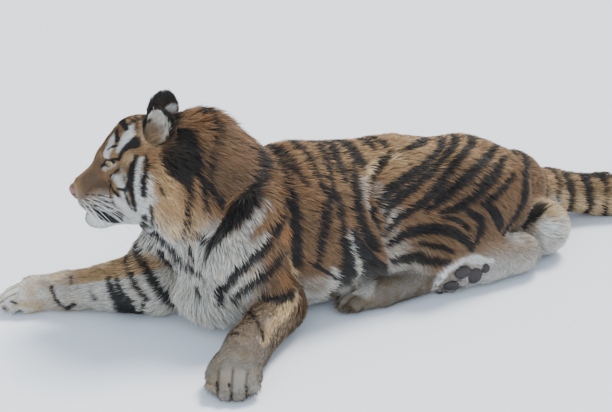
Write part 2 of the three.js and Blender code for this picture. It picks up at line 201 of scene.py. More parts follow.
def head_fields(q):
    """Soft solids of the head in its own frame, by part."""
    skull = [ball(q, (95, 0, 84), (134, 100, 94)), cone(q, (140, 0, 114), (212, 0, 74), 78, 64),
             cone(q, (212, 0, 66), (322, 0, 28), 50, 35), ball(q, (20, 0, 40), (120, 105, 110))]
    jaw = [ball(q, (305, 0, -72), (46, 42, 34))]
    ruff, ears = [], {}
    for s, name in ((1, "ear_left"), (-1, "ear_right")):
        skull += [ball(q, (291, s * 34, -2), (55, 43, 40)),
                  cone(q, (290, s * 38, -20), (205, s * 62, -18), 32, 34),
                  ball(q, (148, s * 84, 8), (95, 56, 86)), ball(q, (204, s * 50, 116), (34, 27, 20))]
        jaw.append(cone(q, (285, s * 8, -66), (120, s * 62, -55), 36, 60))
        ruff += [cone(q, (95, s * 100, 40), (85, s * 105, -90), 52, 62),
                 cone(q, (40, s * 95, 60), (20, s * 100, -110), 60, 75)]
        turn = EAR_TURNS[s]
        at = sided(EAR, s)
        shell = ball(q, at, (38, 46, 56), turn)
        hollow = ball(q, at + turn @ EAR_HOLLOW, EAR_HOLLOW_SIZE, turn)
        ears[name] = np.maximum(shell, -hollow)
    ruff.append(cone(q, (60, 0, -90), (165, 0, -100), 85, 48))
    return {"head": soft_min(skull, MELT_HEAD), "lower_jaw": soft_min(jaw, MELT_HEAD),
            "ruff": soft_min(ruff, 18), **ears}


def part_fields(p):
    """Every part's own field at the points p, and the part names."""
    out = {}
    for name, (solids, *_rest) in LIMBS.items():
        made = [cone(p, *s[1:]) if s[0] == "cone" else ball(p, *s[1:]) for s in solids]
        out[name] = soft_min(made, MELT_IN_PART)
    q = to_head(p)
    for name, field in head_fields(q).items():
        out[name] = field * HEAD_SCALE
    return out, q


PART_NAMES = list(LIMBS) + list(HEAD_PARTS)
LENGTHS = np.array([LIMBS[n][1] if n in LIMBS else HEAD_PARTS[n][0] for n in PART_NAMES], float)
DEPTHS = np.array([LIMBS[n][2] if n in LIMBS else HEAD_PARTS[n][1] for n in PART_NAMES], float)


def weights_of(fields, soft=22.0):
    stack = np.stack([fields[n] for n in PART_NAMES])
    w = np.exp(-(stack - stack.min(0)) / soft)
    return w / w.sum(0)


def named_weights(fields, soft):
    return dict(zip(PART_NAMES, weights_of(fields, soft)))


def share(w, names):
    """How much of each point belongs to some parts, from their weights."""
    return sum(w[name] for name in names)


HEAD_GROUP = ("head", "lower_jaw", "ear_left", "ear_right")
PAWS = ("forepaw_left", "forepaw_right", "hind_foot_left", "hind_foot_right")
TAIL = ("tail_base", "tail_middle", "tail_end")
FORELEGS = ("upper_arm_left", "forearm_left", "forepaw_left", "upper_arm_right", "forearm_right",
            "forepaw_right")
HIND_LEGS = ("thigh_left", "shank_left", "hind_foot_left", "thigh_right", "hind_foot_right")
STRIPED_TRUNK = ("belly", "rump", "chest", "thigh_left", "shank_left", "neck", "upper_arm_left", "ruff",
                 "upper_arm_right", "thigh_right")
SKIN_FLOOR = 2.0          # the skin ends this far above the floor, mm
PAINT_BATCH = 60000       # points painted at a time

# ------------------------------------------------------------------ detail of the skin
MOUTH = [vec(341, 2, -36), vec(328, 24, -43), vec(296, 45, -50), vec(262, 57, -55), vec(226, 64, -54)]
TOES = {  # paw: (knuckle middle, towards the toes, across, reach, toe radius)
    "forepaw_left": (vec(-600, -526, 46), unit(vec(-0.50, -0.86, 0)), 62, 58, 22.5),
    "forepaw_right": (vec(-970, 328, 42), unit(vec(-0.93, 0.36, 0)), 55, 58, 20.5),
    "hind_foot_right": (vec(0, -205, 42), unit(vec(-1.0, 0.02, 0)), 38, 64, 18),
    "hind_foot_left": (vec(380, -215, 54), unit(vec(-0.97, -0.22, 0)), 38, 60, 18),
}


def eye_frame(q, s):
    """Coordinates about an eye: distance, along the gaze, up, and the opening of the lids."""
    eye, gaze = sided(EYE, s), sided(GAZE, s)
    across = unit(np.cross(vec(0, 0, 1), gaze)) * s          # towards the inner corner
    across = across if across[0] < 0 else -across            # towards the outer corner
    up = np.cross(gaze, across)
    up = up if up[2] > 0 else -up
    d = q - eye
    u, v, w = d @ gaze, d @ across, d @ up
    tilt = w - 0.10 * v - 0.4
    slit = np.where(tilt > 0, 8.6, 6.6) * (1 - (v / 17.0) ** 2) - np.abs(tilt)
    return np.linalg.norm(d, axis=1), u, tilt, slit


def face_detail(f, q):
    """Cuts and folds of the face: orbits, lids, mouth line and philtrum."""
    near = (q[:, 0] > 150) & (np.abs(q[:, 1]) < 130) & (q[:, 2] < 130) & (q[:, 2] > -120) & (f < 60)
    if not near.any():
        return f
    f, q = f.copy(), q[near]
    g = f[near]
    for s in (1, -1):
        far, u, tilt, slit = eye_frame(q, s)
        g = soft_max(g, -(far - (EYE_R + 4.5)), 4.0)
        fold = np.where(tilt > 0, 3.4, 2.4)
        lids = np.maximum(far - (EYE_R + fold), np.minimum(slit, u))
        g = soft_min([g, lids], 1.8)
        pts = [sided(m, s) for m in MOUTH]
        line = np.min([cone(q, a, b, 3.0, 3.0) for a, b in zip(pts, pts[1:])], 0)
        g = soft_max(g, -line, 3.0)
    g = soft_max(g, -cone(q, (352, 0, 0), (344, 0, -34), 2.4, 2.4), 2.5)
    f[near] = g
    return f


def toe_detail(f, p, fields):
    """Splits the front of each paw into four rounded toes."""
    f = f.copy()
    for name, (mid, ahead, across, reach, radius) in TOES.items():
        near = fields[name] < 40
        if not near.any():
            continue
        q = p[near]
        side = np.cross(vec(0, 0, 1), ahead)
        toes = []
        for k in range(4):
            lateral = (k - 1.5) / 1.5
            tip = mid + ahead * reach * (1 - 0.16 * lateral ** 2) + side * lateral * across
            tip[2] = radius + 4
            toes.append(cone(q, mid + side * lateral * across * 0.78 + vec(0, 0, 6), tip, radius + 2,
                             radius))
        g = soft_min(toes, 1.6)
        cut = (q - mid) @ ahead
        blob = np.where(cut > -8, f[near] + 0.62 * (cut + 8), f[near])
        f[near] = soft_min([blob, g], 4.0)
    return f


FOLD_PIXELS = [(392, 154), (382, 164), (372, 176), (366, 190), (365, 205), (369, 220), (376, 236),
               (384, 252), (388, 266)]
FOLDS = {}


def pressed(f, p, name, deep, wide):
    """Presses a valley of a given depth and width along a line that is kept in FOLDS."""
    line = FOLDS.get(name)
    if line is None:
        return f
    low, high = line.min(0) - 3 * wide, line.max(0) + 3 * wide
    near = ((p > low) & (p < high)).all(1)
    if not near.any():
        return f
    f, q = f.copy(), p[near]
    d = np.min([cone(q, a, b, 0.0, 0.0) for a, b in zip(line, line[1:])], 0)
    f[near] += deep * np.exp(-(d / wide) ** 2)
    return f


def base_field(p):
    """The skin under the coat, before folds and fine detail."""
    fields, _ = part_fields(p)
    skin = soft_min(list(fields.values()), MELT_BODY) + DEPTHS @ weights_of(fields)
    return np.maximum(skin, SKIN_FLOOR - p[:, 2])


def skin_field(p, detail=True):
    fields, q = part_fields(p)
    w = weights_of(fields)
    f = soft_min(list(fields.values()), MELT_BODY) + DEPTHS @ w
    f = pressed(f, p, "thigh", 15.0, 17.0)
    if detail:
        f = face_detail(f / HEAD_SCALE, q) * HEAD_SCALE
        f = toe_detail(f, p, fields)
    return np.maximum(f, SKIN_FLOOR - p[:, 2])


def in_chunks(field, p, size=150000):
    return np.concatenate([field(p[i:i + size]) for i in range(0, len(p), size)])


def slope_of(field, p, f=None, d=0.8):
    f = in_chunks(field, p) if f is None else f
    out = np.empty_like(p)
    for k in range(3):
        q = p.copy()
        q[:, k] += d
        out[:, k] = (in_chunks(field, q) - f) / d
    return f, out


def settle(field, p, turns=2, limit=6.0):
    for _ in range(turns):
        f, g = slope_of(field, p)
        step = (f / np.maximum((g * g).sum(1), 0.25))[:, None] * g
        size = np.linalg.norm(step, axis=1, keepdims=True)
        p = p - step * np.minimum(1, limit / np.maximum(size, 1e-6))
    return p


# ------------------------------------------------------------------ drawing a field as a mesh
def net(field, low, high, step):
    """Vertices and quads of the zero surface of a field, on a sparse grid."""
    low, high = np.asarray(low, float), np.asarray(high, float)
    m = 4
    coarse = np.ceil((high - low) / (step * m)).astype(int) + 1
    axes = [low[i] + step * m * (np.arange(coarse[i]) + 0.375) for i in range(3)]
    grid = np.stack(np.meshgrid(*axes, indexing="ij"), -1).reshape(-1, 3)
    rough = in_chunks(field, grid).reshape(coarse)
    value = rough.repeat(m, 0).repeat(m, 1).repeat(m, 2)
    near = np.abs(value) < step * m * 1.5
    index = np.argwhere(near)
    value[near] = in_chunks(field, low + step * index)
    for k in range(3):
        edge = [slice(None)] * 3
        for end in (0, -1):
            edge[k] = end
            value[tuple(edge)] = 1e3
    n = value.shape
    inside = value < 0
    count = sum(inside[i:n[0] - 1 + i, j:n[1] - 1 + j, k:n[2] - 1 + k].astype(np.int8)
                for i in (0, 1) for j in (0, 1) for k in (0, 1))
    active = (count > 0) & (count < 8)
    number = -np.ones(active.shape, int)
    cells = np.argwhere(active)
    number[active] = np.arange(len(cells))
    total, hits = np.zeros((len(cells), 3)), np.zeros(len(cells))
    for axis in range(3):
        for u in (0, 1):
            for v in (0, 1):
                a = cells.copy()
                others = [k for k in range(3) if k != axis]
                a[:, others[0]] += u
                a[:, others[1]] += v
                b = a.copy()
                b[:, axis] += 1
                va, vb = value[tuple(a.T)], value[tuple(b.T)]
                cross = (va < 0) != (vb < 0)
                point = a.astype(float)
                point[:, axis] += np.where(cross, va / (va - vb + 1e-30), 0)
                total[cross] += point[cross]
                hits[cross] += 1
    verts = low + step * total / hits[:, None]
    quads = []
    for axis in range(3):
        others = [k for k in range(3) if k != axis]
        first, second = [slice(None)] * 3, [slice(None)] * 3
        first[axis], second[axis] = slice(0, n[axis] - 1), slice(1, n[axis])
        a, b = inside[tuple(first)], inside[tuple(second)]
        for flip, mask in ((False, a & ~b), (True, ~a & b)):
            e = np.argwhere(mask)
            ok = ((e[:, others[0]] > 0) & (e[:, others[1]] > 0)
                  & (e[:, others[0]] < n[others[0]] - 1) & (e[:, others[1]] < n[others[1]] - 1))
            ring = []
            for du, dv in ((-1, -1), (0, -1), (0, 0), (-1, 0)):
                c = e[ok].copy()
                c[:, others[0]] += du
                c[:, others[1]] += dv
                ring.append(number[tuple(c.T)])
            ring = np.stack(ring, 1)
            if (axis == 1) != flip:
                ring = ring[:, ::-1]
            quads.append(ring)
    return verts, np.concatenate(quads)


def linked(name, data):
    """A new object for some data, linked to the scene."""
    obj = bpy.data.objects.new(name, data)
    bpy.context.scene.collection.objects.link(obj)
    return obj


def raw_mesh(name, verts, corners, starts):
    """A smooth mesh from millimetre vertices, the corners of its faces and where each face starts."""
    mesh = bpy.data.meshes.new(name)
    mesh.vertices.add(len(verts))
    mesh.vertices.foreach_set("co", (verts * MM).astype(np.float32).ravel())
    mesh.loops.add(len(corners))
    mesh.loops.foreach_set("vertex_index", corners.astype(np.int32))
    mesh.polygons.add(len(starts))
    mesh.polygons.foreach_set("loop_start", starts.astype(np.int32))
    mesh.update(calc_edges=True)
    mesh.polygons.foreach_set("use_smooth", np.ones(len(starts), bool))
    return mesh


def mesh_object(name, verts, faces):
    """An object from millimetre vertices and faces that all have as many sides."""
    faces = np.asarray(faces)
    starts = np.arange(0, faces.size, faces.shape[1])
    return linked(name, raw_mesh(name, np.asarray(verts), faces.ravel(), starts))


def colour_points(mesh, name, colours):
    layer = mesh.attributes.new(name, "FLOAT_COLOR", "POINT")
    rgba = np.ones((len(colours), 4), np.float32)
    rgba[:, :3] = colours
    layer.data.foreach_set("color", rgba.ravel())


# ------------------------------------------------------------------ noise
def lattice(i, seed):
    h = (i[..., 0] * 73856093) ^ (i[..., 1] * 19349663) ^ (i[..., 2] * 83492791) ^ (seed * 2654435)
    h = (h ^ (h >> 13)) * 1274126177
    return ((h ^ (h >> 16)) & 0xFFFF) / 65535.0


def noise(p, size, seed=0):
    """Smooth value noise between -1 and 1, with features about size mm across."""
    x = p / size
    i = np.floor(x).astype(np.int64)
    t = x - i
    t = t * t * (3 - 2 * t)
    out = 0
    for a in (0, 1):
        for b in (0, 1):
            for c in (0, 1):
                near = [t[:, k] if far else 1 - t[:, k] for k, far in enumerate((a, b, c))]
                out = out + near[0] * near[1] * near[2] * lattice(i + np.array([a, b, c]), seed)
    return out * 2 - 1


def ramp(x, a, b):
    t = np.clip((x - a) / (b - a), 0, 1)
    return t * t * (3 - 2 * t)


# ------------------------------------------------------------------ markings
# Each stripe runs through points of the camera's own frame (pixels of a
# 612 x 412 view), laid onto the skin from the camera. A row holds x, y and
# width for each point.
TRUNK_STRIPES = [
    (276, 151, 3, 284, 170, 4, 289, 190, 5, 293, 212, 8, 294, 240, 9, 296, 262, 7),
    (290, 144, 4, 299, 152, 5, 309, 164, 4, 315, 176, 4, 321, 190, 4, 325, 201, 2),
    (312, 141, 6, 319, 150, 6, 324, 160, 5, 328, 177, 5, 329, 192, 4, 326, 210, 6, 321, 236, 6,
     317, 262, 3),
    (325, 139, 5, 332, 150, 7, 335, 162, 6, 340, 176, 6, 343, 184, 3),
    (330, 187, 3, 334, 200, 5, 338, 214, 5, 340, 232, 5, 344, 252, 8, 346, 272, 11, 347, 290, 12),
    (336, 137, 7, 345, 146, 9, 352, 156, 9, 359, 165, 9, 362, 172, 3),
    (350, 167, 3, 353, 178, 6, 354, 194, 7, 356, 208, 8, 359, 222, 7, 364, 234, 7, 372, 244, 6,
     379, 250, 3),
    (351, 229, 4, 355, 241, 6, 363, 252, 8, 370, 264, 12, 375, 277, 18, 377, 291, 24),
    (352, 135, 4, 362, 141, 6, 370, 148, 6, 375, 153, 3),
    (358, 133, 4, 370, 134, 5, 381, 137, 3),
    (376, 142, 3, 382, 146, 6, 386, 151, 3),
    (279, 157, 2, 287, 166, 3, 295, 174, 3, 303, 183, 3, 307, 189, 2),
    (272, 149, 5, 281, 153, 4, 290, 161, 3, 297, 170, 2),
    (312, 262, 2, 324, 268, 3, 336, 276, 2),
    (396, 134, 5, 408, 135, 4, 420, 134, 3, 433, 134, 3),
]
HIP_STRIPES = [
    (394, 152, 6, 387, 161, 8, 379, 171, 8, 372, 181, 7, 368, 191, 6, 371, 206, 5, 377, 222, 4,
     381, 236, 3),
    (426, 141, 7, 419, 146, 8, 410, 151, 5, 402, 155, 3),
    (433, 134, 4, 442, 141, 6, 441, 151, 6, 430, 161, 6, 418, 172, 7, 403, 181, 8, 388, 191, 8, 379, 202, 6,
     376, 212, 3),
    (450, 132, 6, 456, 141, 7, 451, 153, 7, 440, 165, 6, 426, 178, 7, 412, 189, 7, 398, 198, 8, 387, 208, 6,
     381, 220, 3),
    (470, 138, 6, 472, 147, 7, 462, 159, 7, 450, 172, 7, 440, 186, 8, 425, 200, 7, 410, 211, 6, 396, 218, 6,
     387, 227, 5, 383, 237, 2),
    (497, 145, 5, 492, 155, 6, 480, 167, 8, 465, 181, 8, 450, 193, 8, 438, 202, 7, 425, 212, 4),
    (440, 214, 4, 452, 211, 6, 464, 205, 7, 476, 196, 7, 488, 186, 6, 500, 174, 4),
    (386, 249, 3, 392, 241, 6, 403, 234, 8, 419, 230, 9, 437, 230, 9, 452, 234, 8, 464, 242, 7,
     471, 250, 4),
    (388, 262, 4, 398, 257, 7, 410, 257, 9, 423, 258, 9, 436, 261, 8, 448, 261, 5),
    (412, 244, 2, 425, 245, 4, 440, 247, 5, 453, 252, 3),
    (412, 279, 6, 425, 281, 8, 438, 277, 5),
    (511, 148, 4, 513, 155, 5, 511, 162, 2),
    (521, 152, 5, 526, 163, 8, 522, 177, 9, 522, 190, 10, 520, 203, 9, 515, 214, 9, 507, 224, 9,
     503, 234, 6),
    (535, 157, 5, 547, 167, 6, 555, 178, 5, 559, 188, 3),
    (541, 176, 6, 547, 187, 9, 546, 199, 10, 541, 211, 9, 532, 221, 7, 525, 228, 4),
    (505, 158, 4, 498, 168, 6, 488, 178, 6, 476, 188, 3),
    (512, 176, 4, 504, 188, 6, 494, 197, 6, 481, 204, 4),
    (484, 204, 5, 493, 214, 9, 499, 226, 8),
    (467, 212, 5, 478, 221, 8, 478, 233, 8, 472, 246, 5),
    (444, 219, 3, 457, 222, 5, 467, 230, 4),
    (475, 141, 4, 488, 141, 4),
]
NECK_STRIPES = [
    (258, 156, 10, 262, 163, 13, 262, 175, 9, 259, 189, 12, 251, 202, 15, 240, 215, 13, 229, 228, 11,
     219, 241, 8, 213, 253, 5, 211, 264, 3),
    (281, 203, 4, 280, 218, 5, 273, 235, 6, 263, 248, 6, 250, 260, 7, 237, 272, 7, 225, 287, 7,
     221, 303, 6),
    (280, 253, 5, 273, 267, 7, 263, 277, 7, 250, 283, 6, 240, 293, 5, 235, 301, 3),
    (232, 180, 2, 240, 185, 2, 248, 189, 2),
    (212, 188, 3, 221, 200, 6, 228, 211, 5),
    (188, 113, 3, 200, 117, 4, 211, 120, 6, 216, 131, 6, 215, 146, 5),
    (225, 121, 3, 240, 127, 4, 252, 137, 3),
    (238, 146, 2, 250, 153, 3, 263, 160, 3),
    (176, 104, 10, 187, 107, 11, 199, 110, 7),
    (181, 141, 16, 180, 152, 23, 181, 163, 22, 186, 176, 12),
    (190, 138, 9, 196, 154, 10, 200, 170, 8, 203, 184, 4),
    (170, 246, 4, 184, 261, 6, 195, 267, 6, 206, 272, 4),
    (198, 236, 4, 206, 241, 6, 213, 247, 4),
    (193, 247, 4, 200, 262, 3),
    (172, 279, 3, 183, 272, 4),
    (189, 178, 4, 191, 198, 5, 190, 218, 4, 186, 238, 4),
    (203, 176, 4, 207, 196, 5, 209, 212, 3),
    (214, 150, 3, 213, 168, 4, 212, 186, 4),
    (200, 285, 2, 203, 300, 2),
]
LEG_STRIPES = [
    (109, 278, 3, 111, 286, 5, 119, 297, 9, 127, 309, 17, 131, 321, 20),
    (117, 279, 3, 119, 286, 4, 127, 296, 5, 134, 305, 5),
    (127, 259, 3, 131, 274, 4, 138, 288, 4, 147, 297, 3),
    (133, 243, 4, 140, 258, 5, 145, 268, 6, 152, 281, 7, 162, 294, 7, 173, 304, 5),
    (144, 300, 3, 142, 309, 3),
    (160, 253, 5, 167, 265, 6, 175, 273, 5, 183, 272, 3),
    (52, 288, 3, 57, 299, 3, 67, 307, 4, 74, 302, 3),
    (71, 279, 3, 71, 285, 2),
    (92, 290, 2, 95, 300, 2),
    (240, 313, 2, 252, 316, 4, 259, 329, 2),
    (222, 334, 3, 238, 336, 3),
    # painted shade: a dark band in the crease of the near elbow
    (262, 300, 4, 276, 302, 7, 288, 297, 7, 297, 285, 4),
    (260, 332, 3, 262, 342, 2),
    # painted shade: dark lines between the toes, three on the near forepaw and one on the far forepaw
    (217, 379, 1.5, 219, 392, 2.5),
    (229, 381, 1.5, 231, 396, 2.5),
    (243, 379, 1.5, 247, 392, 2.5),
    (9, 301, 1.5, 19, 304, 1.5),
]
HEAD_STRIPES = [
    (103, 166, 3, 107, 162, 3, 113, 158, 4, 120, 158, 3),
    (120, 158, 3, 124, 150, 4, 131, 146, 7, 137, 143, 11),
    (118, 132, 4, 119, 140, 6),
    (124, 123, 7, 128, 130, 6),
    (109, 151, 2, 114, 148, 3, 119, 147, 2),
    (101, 140, 2, 109, 131, 2, 116, 127, 2),
    (109, 138, 2, 114, 132, 2, 121, 128, 1.5),
    (127, 120, 2, 135, 113, 3, 145, 108, 3),
    (131, 126, 2, 137, 117, 3, 141, 113, 3),
    (137, 130, 2, 138, 122, 2),
    (144, 119, 3, 149, 113, 5, 152, 109, 3),
    (150, 106, 4, 158, 106, 4, 167, 108, 3),
    (138, 156, 4, 134, 165, 7, 133, 175, 8, 132, 185, 6, 133, 194, 5, 135, 204, 5, 136, 210, 3),
    (148, 155, 3, 149, 165, 6, 148, 174, 7, 146, 184, 8, 145, 194, 6),
    (146, 215, 6, 144, 224, 10),
    (120, 188, 2, 127, 190, 4, 129, 183, 3),
    (125, 191, 2, 129, 200, 3, 133, 208, 2),
    (110, 180, 2, 113, 186, 3, 119, 195, 4),
    (113, 175, 4, 121, 171, 3),
    (125, 170, 1.2, 126, 180, 1.5),
    (153, 204, 4, 155, 215, 6, 155, 225, 6),
    (161, 223, 3, 167, 233, 6, 172, 241, 5),
    (161, 184, 3, 165, 192, 4),
    # the dark of the mouth: partly the black lip, partly painted shadow of the mouth's opening
    (98, 211, 6, 104, 214, 13, 110, 216, 17, 116, 217, 15, 121, 213, 7),
    (84, 204, 1.5, 91, 207, 2, 98, 211, 4),
    (164, 113, 3, 167, 124, 3, 167, 137, 3),
]
# the rows of dark dots that the whiskers grow from
HEAD_STRIPES += [(87 + 6 * col + row, 195 + 4.6 * row + 0.5 * col, 1.4,
                  90 + 6 * col + row, 195.4 + 4.6 * row + 0.5 * col,
                  1.2) for row in range(4) for col in range(5)]
# soft patches of the head: x, y, radius, colour, softness, strength
# the gold patches on the forehead and crown are painted highlights; the grey patch on the white muzzle is
# painted shade
HEAD_PATCHES = [
    (115, 126, 9, "gold", 0.9, 0.7), (128, 116, 10, "gold", 0.9, 0.8), (143, 120, 10, "gold", 0.9, 0.85),
    (143, 138, 7, "gold", 0.9, 0.6), (130, 160, 8, "straw", 0.9, 0.6), (156, 176, 7, "straw", 0.8, 0.8),
    (95, 176, 10, "brown", 0.9, 0.9), (86, 182, 10, "brown", 0.9, 0.9), (99, 186, 8, "brown", 0.9, 0.9),
    (90, 191, 6, "brown", 0.9, 0.8), (104, 188, 7, "brown", 0.9, 0.8), (112, 183, 6, "brown", 0.9, 0.6),
    (84, 196, 8, "brown", 0.9, 0.6), (104, 199, 12, "grey", 0.9, 0.7), (104, 150, 5, "umber", 0.9, 0.6),
    (100, 165, 9, "umber", 0.9, 0.8), (160, 104, 8, "orange", 0.8, 0.9), (148, 108, 9, "orange", 0.8, 0.7),
    (171, 108, 8, "orange", 0.8, 0.8), (140, 228, 16, "white", 0.8, 0.9), (102, 225, 18, "white", 0.6, 0.9),
    (125, 228, 16, "white", 0.6, 0.9),
]
# soft strokes of the head: x, y and width for each point, then colour and strength
HEAD_STROKES = [
    ((107, 156, 5, 109, 149, 8, 113, 142, 8, 117, 138, 5), "white", 1.0),
    ((122, 150, 5, 126, 142, 9, 130, 134, 9, 132, 129, 5), "white", 1.0),
    ((105, 168, 3, 110, 166, 4, 116, 163, 3), "cream", 0.9),
    ((113, 176, 3, 119, 179, 7, 124, 187, 7, 126, 196, 6), "white", 0.9),
    ((124, 170, 4, 125, 178, 6), "cream", 0.8),
    ((142, 160, 4, 140, 172, 7, 139, 184, 8, 140, 198, 9, 141, 208, 10), "white", 1.0),
    ((154, 176, 4, 153, 190, 7, 151, 204, 9, 148, 214, 9), "white", 0.95),
    ((118, 198, 8, 127, 204, 12, 133, 212, 14, 146, 224, 14), "white", 0.95),
    # painted shade: the white muzzle drawn grey
    ((86, 206, 4, 93, 207, 7, 103, 207, 9, 114, 205, 10), "grey", 0.75),
    ((90, 216, 8, 97, 222, 9, 110, 226, 7, 122, 224, 7), "white", 0.9),
    ((175, 115, 4, 178, 122, 6, 180, 130, 5), "white", 1.0),
    ((136, 118, 3, 144, 126, 4, 147, 136, 4), "straw", 0.8),
]
COLOURS = {
    "rust": vec(0.205, 0.112, 0.054), "orange": vec(0.350, 0.160, 0.064), "umber": vec(0.112, 0.068, 0.040),
    "gold": vec(0.430, 0.275, 0.135), "straw": vec(0.590, 0.430, 0.245), "cream": vec(0.500, 0.475, 0.425),
    "white": vec(0.700, 0.695, 0.665), "tan": vec(0.250, 0.190, 0.126), "grey": vec(0.280, 0.265, 0.240),
    "black": vec(0.011, 0.011, 0.012), "brown": vec(0.112, 0.072, 0.046),
}


# the same for the rest of the body
# the gold and straw patches along the back, hip and rump tops and the far foreleg's top, and the patches
# down the near forearm's right edge, are painted highlights
# the umber patches on the flank, the thigh, the neck behind the ruff and at the near elbow and forearm are
# painted shade;
BODY_PATCHES = [
    (315, 228, 34, "umber", 0.9, 0.55), (340, 200, 20, "umber", 0.9, 0.4), (300, 158, 18, "gold", 0.9, 0.5),
    (335, 147, 18, "gold", 0.9, 0.7), (420, 146, 20, "gold", 0.9, 0.85), (396, 158, 10, "straw", 0.8, 0.9),
    (455, 140, 16, "gold", 0.9, 0.75), (500, 162, 16, "gold", 0.9, 0.75), (548, 178, 12, "gold", 0.9, 0.8),
    (479, 195, 26, "umber", 0.9, 0.45), (430, 168, 14, "gold", 0.9, 0.5), (399, 190, 12, "tan", 0.9, 0.5),
    (386, 272, 8, "cream", 0.7, 0.8), (343, 288, 10, "cream", 0.7, 0.9), (366, 291, 10, "cream", 0.7, 0.9),
    (332, 292, 12, "cream", 0.8, 0.7), (318, 285, 12, "tan", 0.9, 0.7), (400, 248, 12, "cream", 0.9, 0.45),
    (402, 268, 11, "cream", 0.9, 0.6), (425, 251, 14, "tan", 0.9, 0.6), (420, 270, 14, "cream", 0.9, 0.5),
    (395, 214, 12, "cream", 0.9, 0.35), (530, 222, 12, "tan", 0.9, 0.7), (514, 238, 14, "cream", 0.8, 0.8),
    (541, 208, 9, "straw", 0.9, 0.6), (554, 200, 8, "cream", 0.8, 0.8), (548, 228, 12, "white", 0.7, 0.9),
    (556, 216, 6, "straw", 0.9, 0.7), (232, 140, 30, "umber", 0.9, 0.45),
    (210, 122, 16, "orange", 0.9, 0.7), (238, 132, 14, "orange", 0.9, 0.5),
    (228, 185, 26, "umber", 0.9, 0.7), (250, 180, 15, "umber", 0.9, 0.4), (245, 160, 14, "umber", 0.9, 0.5),
    (172, 195, 17, "gold", 0.9, 0.95), (186, 212, 18, "gold", 0.9, 0.9), (178, 228, 13, "straw", 0.9, 0.9),
    (198, 222, 14, "gold", 0.9, 0.7), (164, 180, 10, "gold", 0.9, 0.8), (160, 215, 9, "straw", 0.8, 0.9),
    (455, 186, 34, "umber", 0.9, 0.6), (470, 218, 28, "umber", 0.9, 0.5), (154, 196, 8, "cream", 0.8, 0.9),
    (152, 228, 13, "white", 0.8, 0.95), (168, 244, 14, "white", 0.8, 0.9),
    (187, 250, 14, "cream", 0.8, 0.9), (205, 250, 10, "cream", 0.8, 0.8), (150, 245, 14, "cream", 0.8, 0.8),
    (262, 250, 9, "gold", 0.9, 0.5), (250, 271, 7, "gold", 0.9, 0.5), (283, 235, 12, "orange", 0.9, 0.6),
    (291, 262, 9, "orange", 0.9, 0.8), (284, 283, 11, "orange", 0.9, 0.6),
    (262, 288, 12, "umber", 0.9, 0.6), (292, 300, 9, "gold", 0.9, 0.8), (283, 314, 9, "straw", 0.9, 0.7),
    (270, 326, 8, "cream", 0.9, 0.8), (262, 342, 8, "cream", 0.9, 0.6), (247, 322, 13, "umber", 0.9, 0.55),
    (240, 340, 14, "tan", 0.9, 0.6), (172, 178, 13, "gold", 0.9, 0.8), (196, 236, 10, "gold", 0.9, 0.7),
    (215, 165, 20, "umber", 0.9, 0.6), (106, 266, 9, "straw", 0.8, 0.9), (120, 260, 9, "gold", 0.8, 0.9),
    (90, 270, 7, "straw", 0.8, 0.8), (128, 268, 8, "gold", 0.9, 0.5), (58, 279, 9, "straw", 0.8, 0.7),
    (44, 285, 8, "tan", 0.9, 0.7), (30, 290, 9, "straw", 0.9, 0.6), (138, 285, 14, "tan", 0.9, 0.4),
]


BODY_STROKES = [
    ((398, 150, 4, 388, 157, 5, 376, 166, 5, 367, 174, 5, 362, 183, 5), "straw", 0.9),
    ((362, 182, 5, 363, 196, 7, 367, 210, 6, 373, 224, 5, 380, 238, 4, 386, 250, 3,
      390, 262, 3), "cream", 0.5),
    ((375, 186, 10, 384, 206, 12, 387, 222, 13, 390, 240, 14, 393, 256, 14, 397, 272, 13), "cream", 0.34),
    ((349, 232, 8, 352, 244, 14, 357, 262, 22, 360, 284, 28), "cream", 0.85),
    ((332, 268, 8, 336, 286, 14), "cream", 0.7),
    ((264, 206, 4, 253, 222, 8, 243, 236, 9, 232, 250, 10, 224, 265, 10, 218, 283, 10), "cream", 0.8),
    ((262, 236, 6, 247, 257, 9, 237, 275, 11, 231, 293, 11), "cream", 0.8),
    # painted highlight down the near forearm's right edge
    ((291, 258, 7, 293, 280, 9, 292, 300, 10, 283, 314, 10, 270, 326, 9, 262, 344, 8), "straw", 0.85),
    ((434, 294, 8, 437, 282, 9, 446, 271, 9, 458, 263, 9, 473, 259, 8, 490, 262, 6), "white", 1.0),
    # painted highlight along the top of the far foreleg
    ((6, 288, 8, 30, 282, 10, 60, 274, 9, 90, 268, 8, 110, 262, 8), "straw", 0.6),
]


RAY_RANGE = (3900.0, 6300.0, 16.0)     # where a ray looks for the skin: from, to and step, mm from the eye


def rays(points):
    """Unit rays through pixels of the view, and mm per pixel at one metre of depth."""
    eye, right, up, back = view_axes()
    w, h = VIEW_SIZE
    f = VIEW_LENS / SENSOR * w
    px = np.asarray(points, float)
    x = (px[:, 0] - w / 2 + VIEW_SHIFT[0] * w) / f
    y = -(px[:, 1] - h / 2 - VIEW_SHIFT[1] * w) / f
    return eye, -back + x[:, None] * right + y[:, None] * up, f


def onto_skin(points):
    """Skin points and normals where rays through the pixels first meet (or pass closest to) the skin."""
    eye, d, f = rays(points)
    t = np.arange(*RAY_RANGE)
    grid = eye + d[:, None, :] * t[None, :, None]
    values = in_chunks(base_field, grid.reshape(-1, 3)).reshape(len(d), -1)
    hit = (values < 0)
    first = np.where(hit.any(1), hit.argmax(1), values.argmin(1))
    p = settle(base_field, eye + d * t[first][:, None], 5, 40.0)
    _, g = slope_of(base_field, p)
    depth = (p - eye) @ (-view_axes()[3])
    return p, unit(g), depth / f


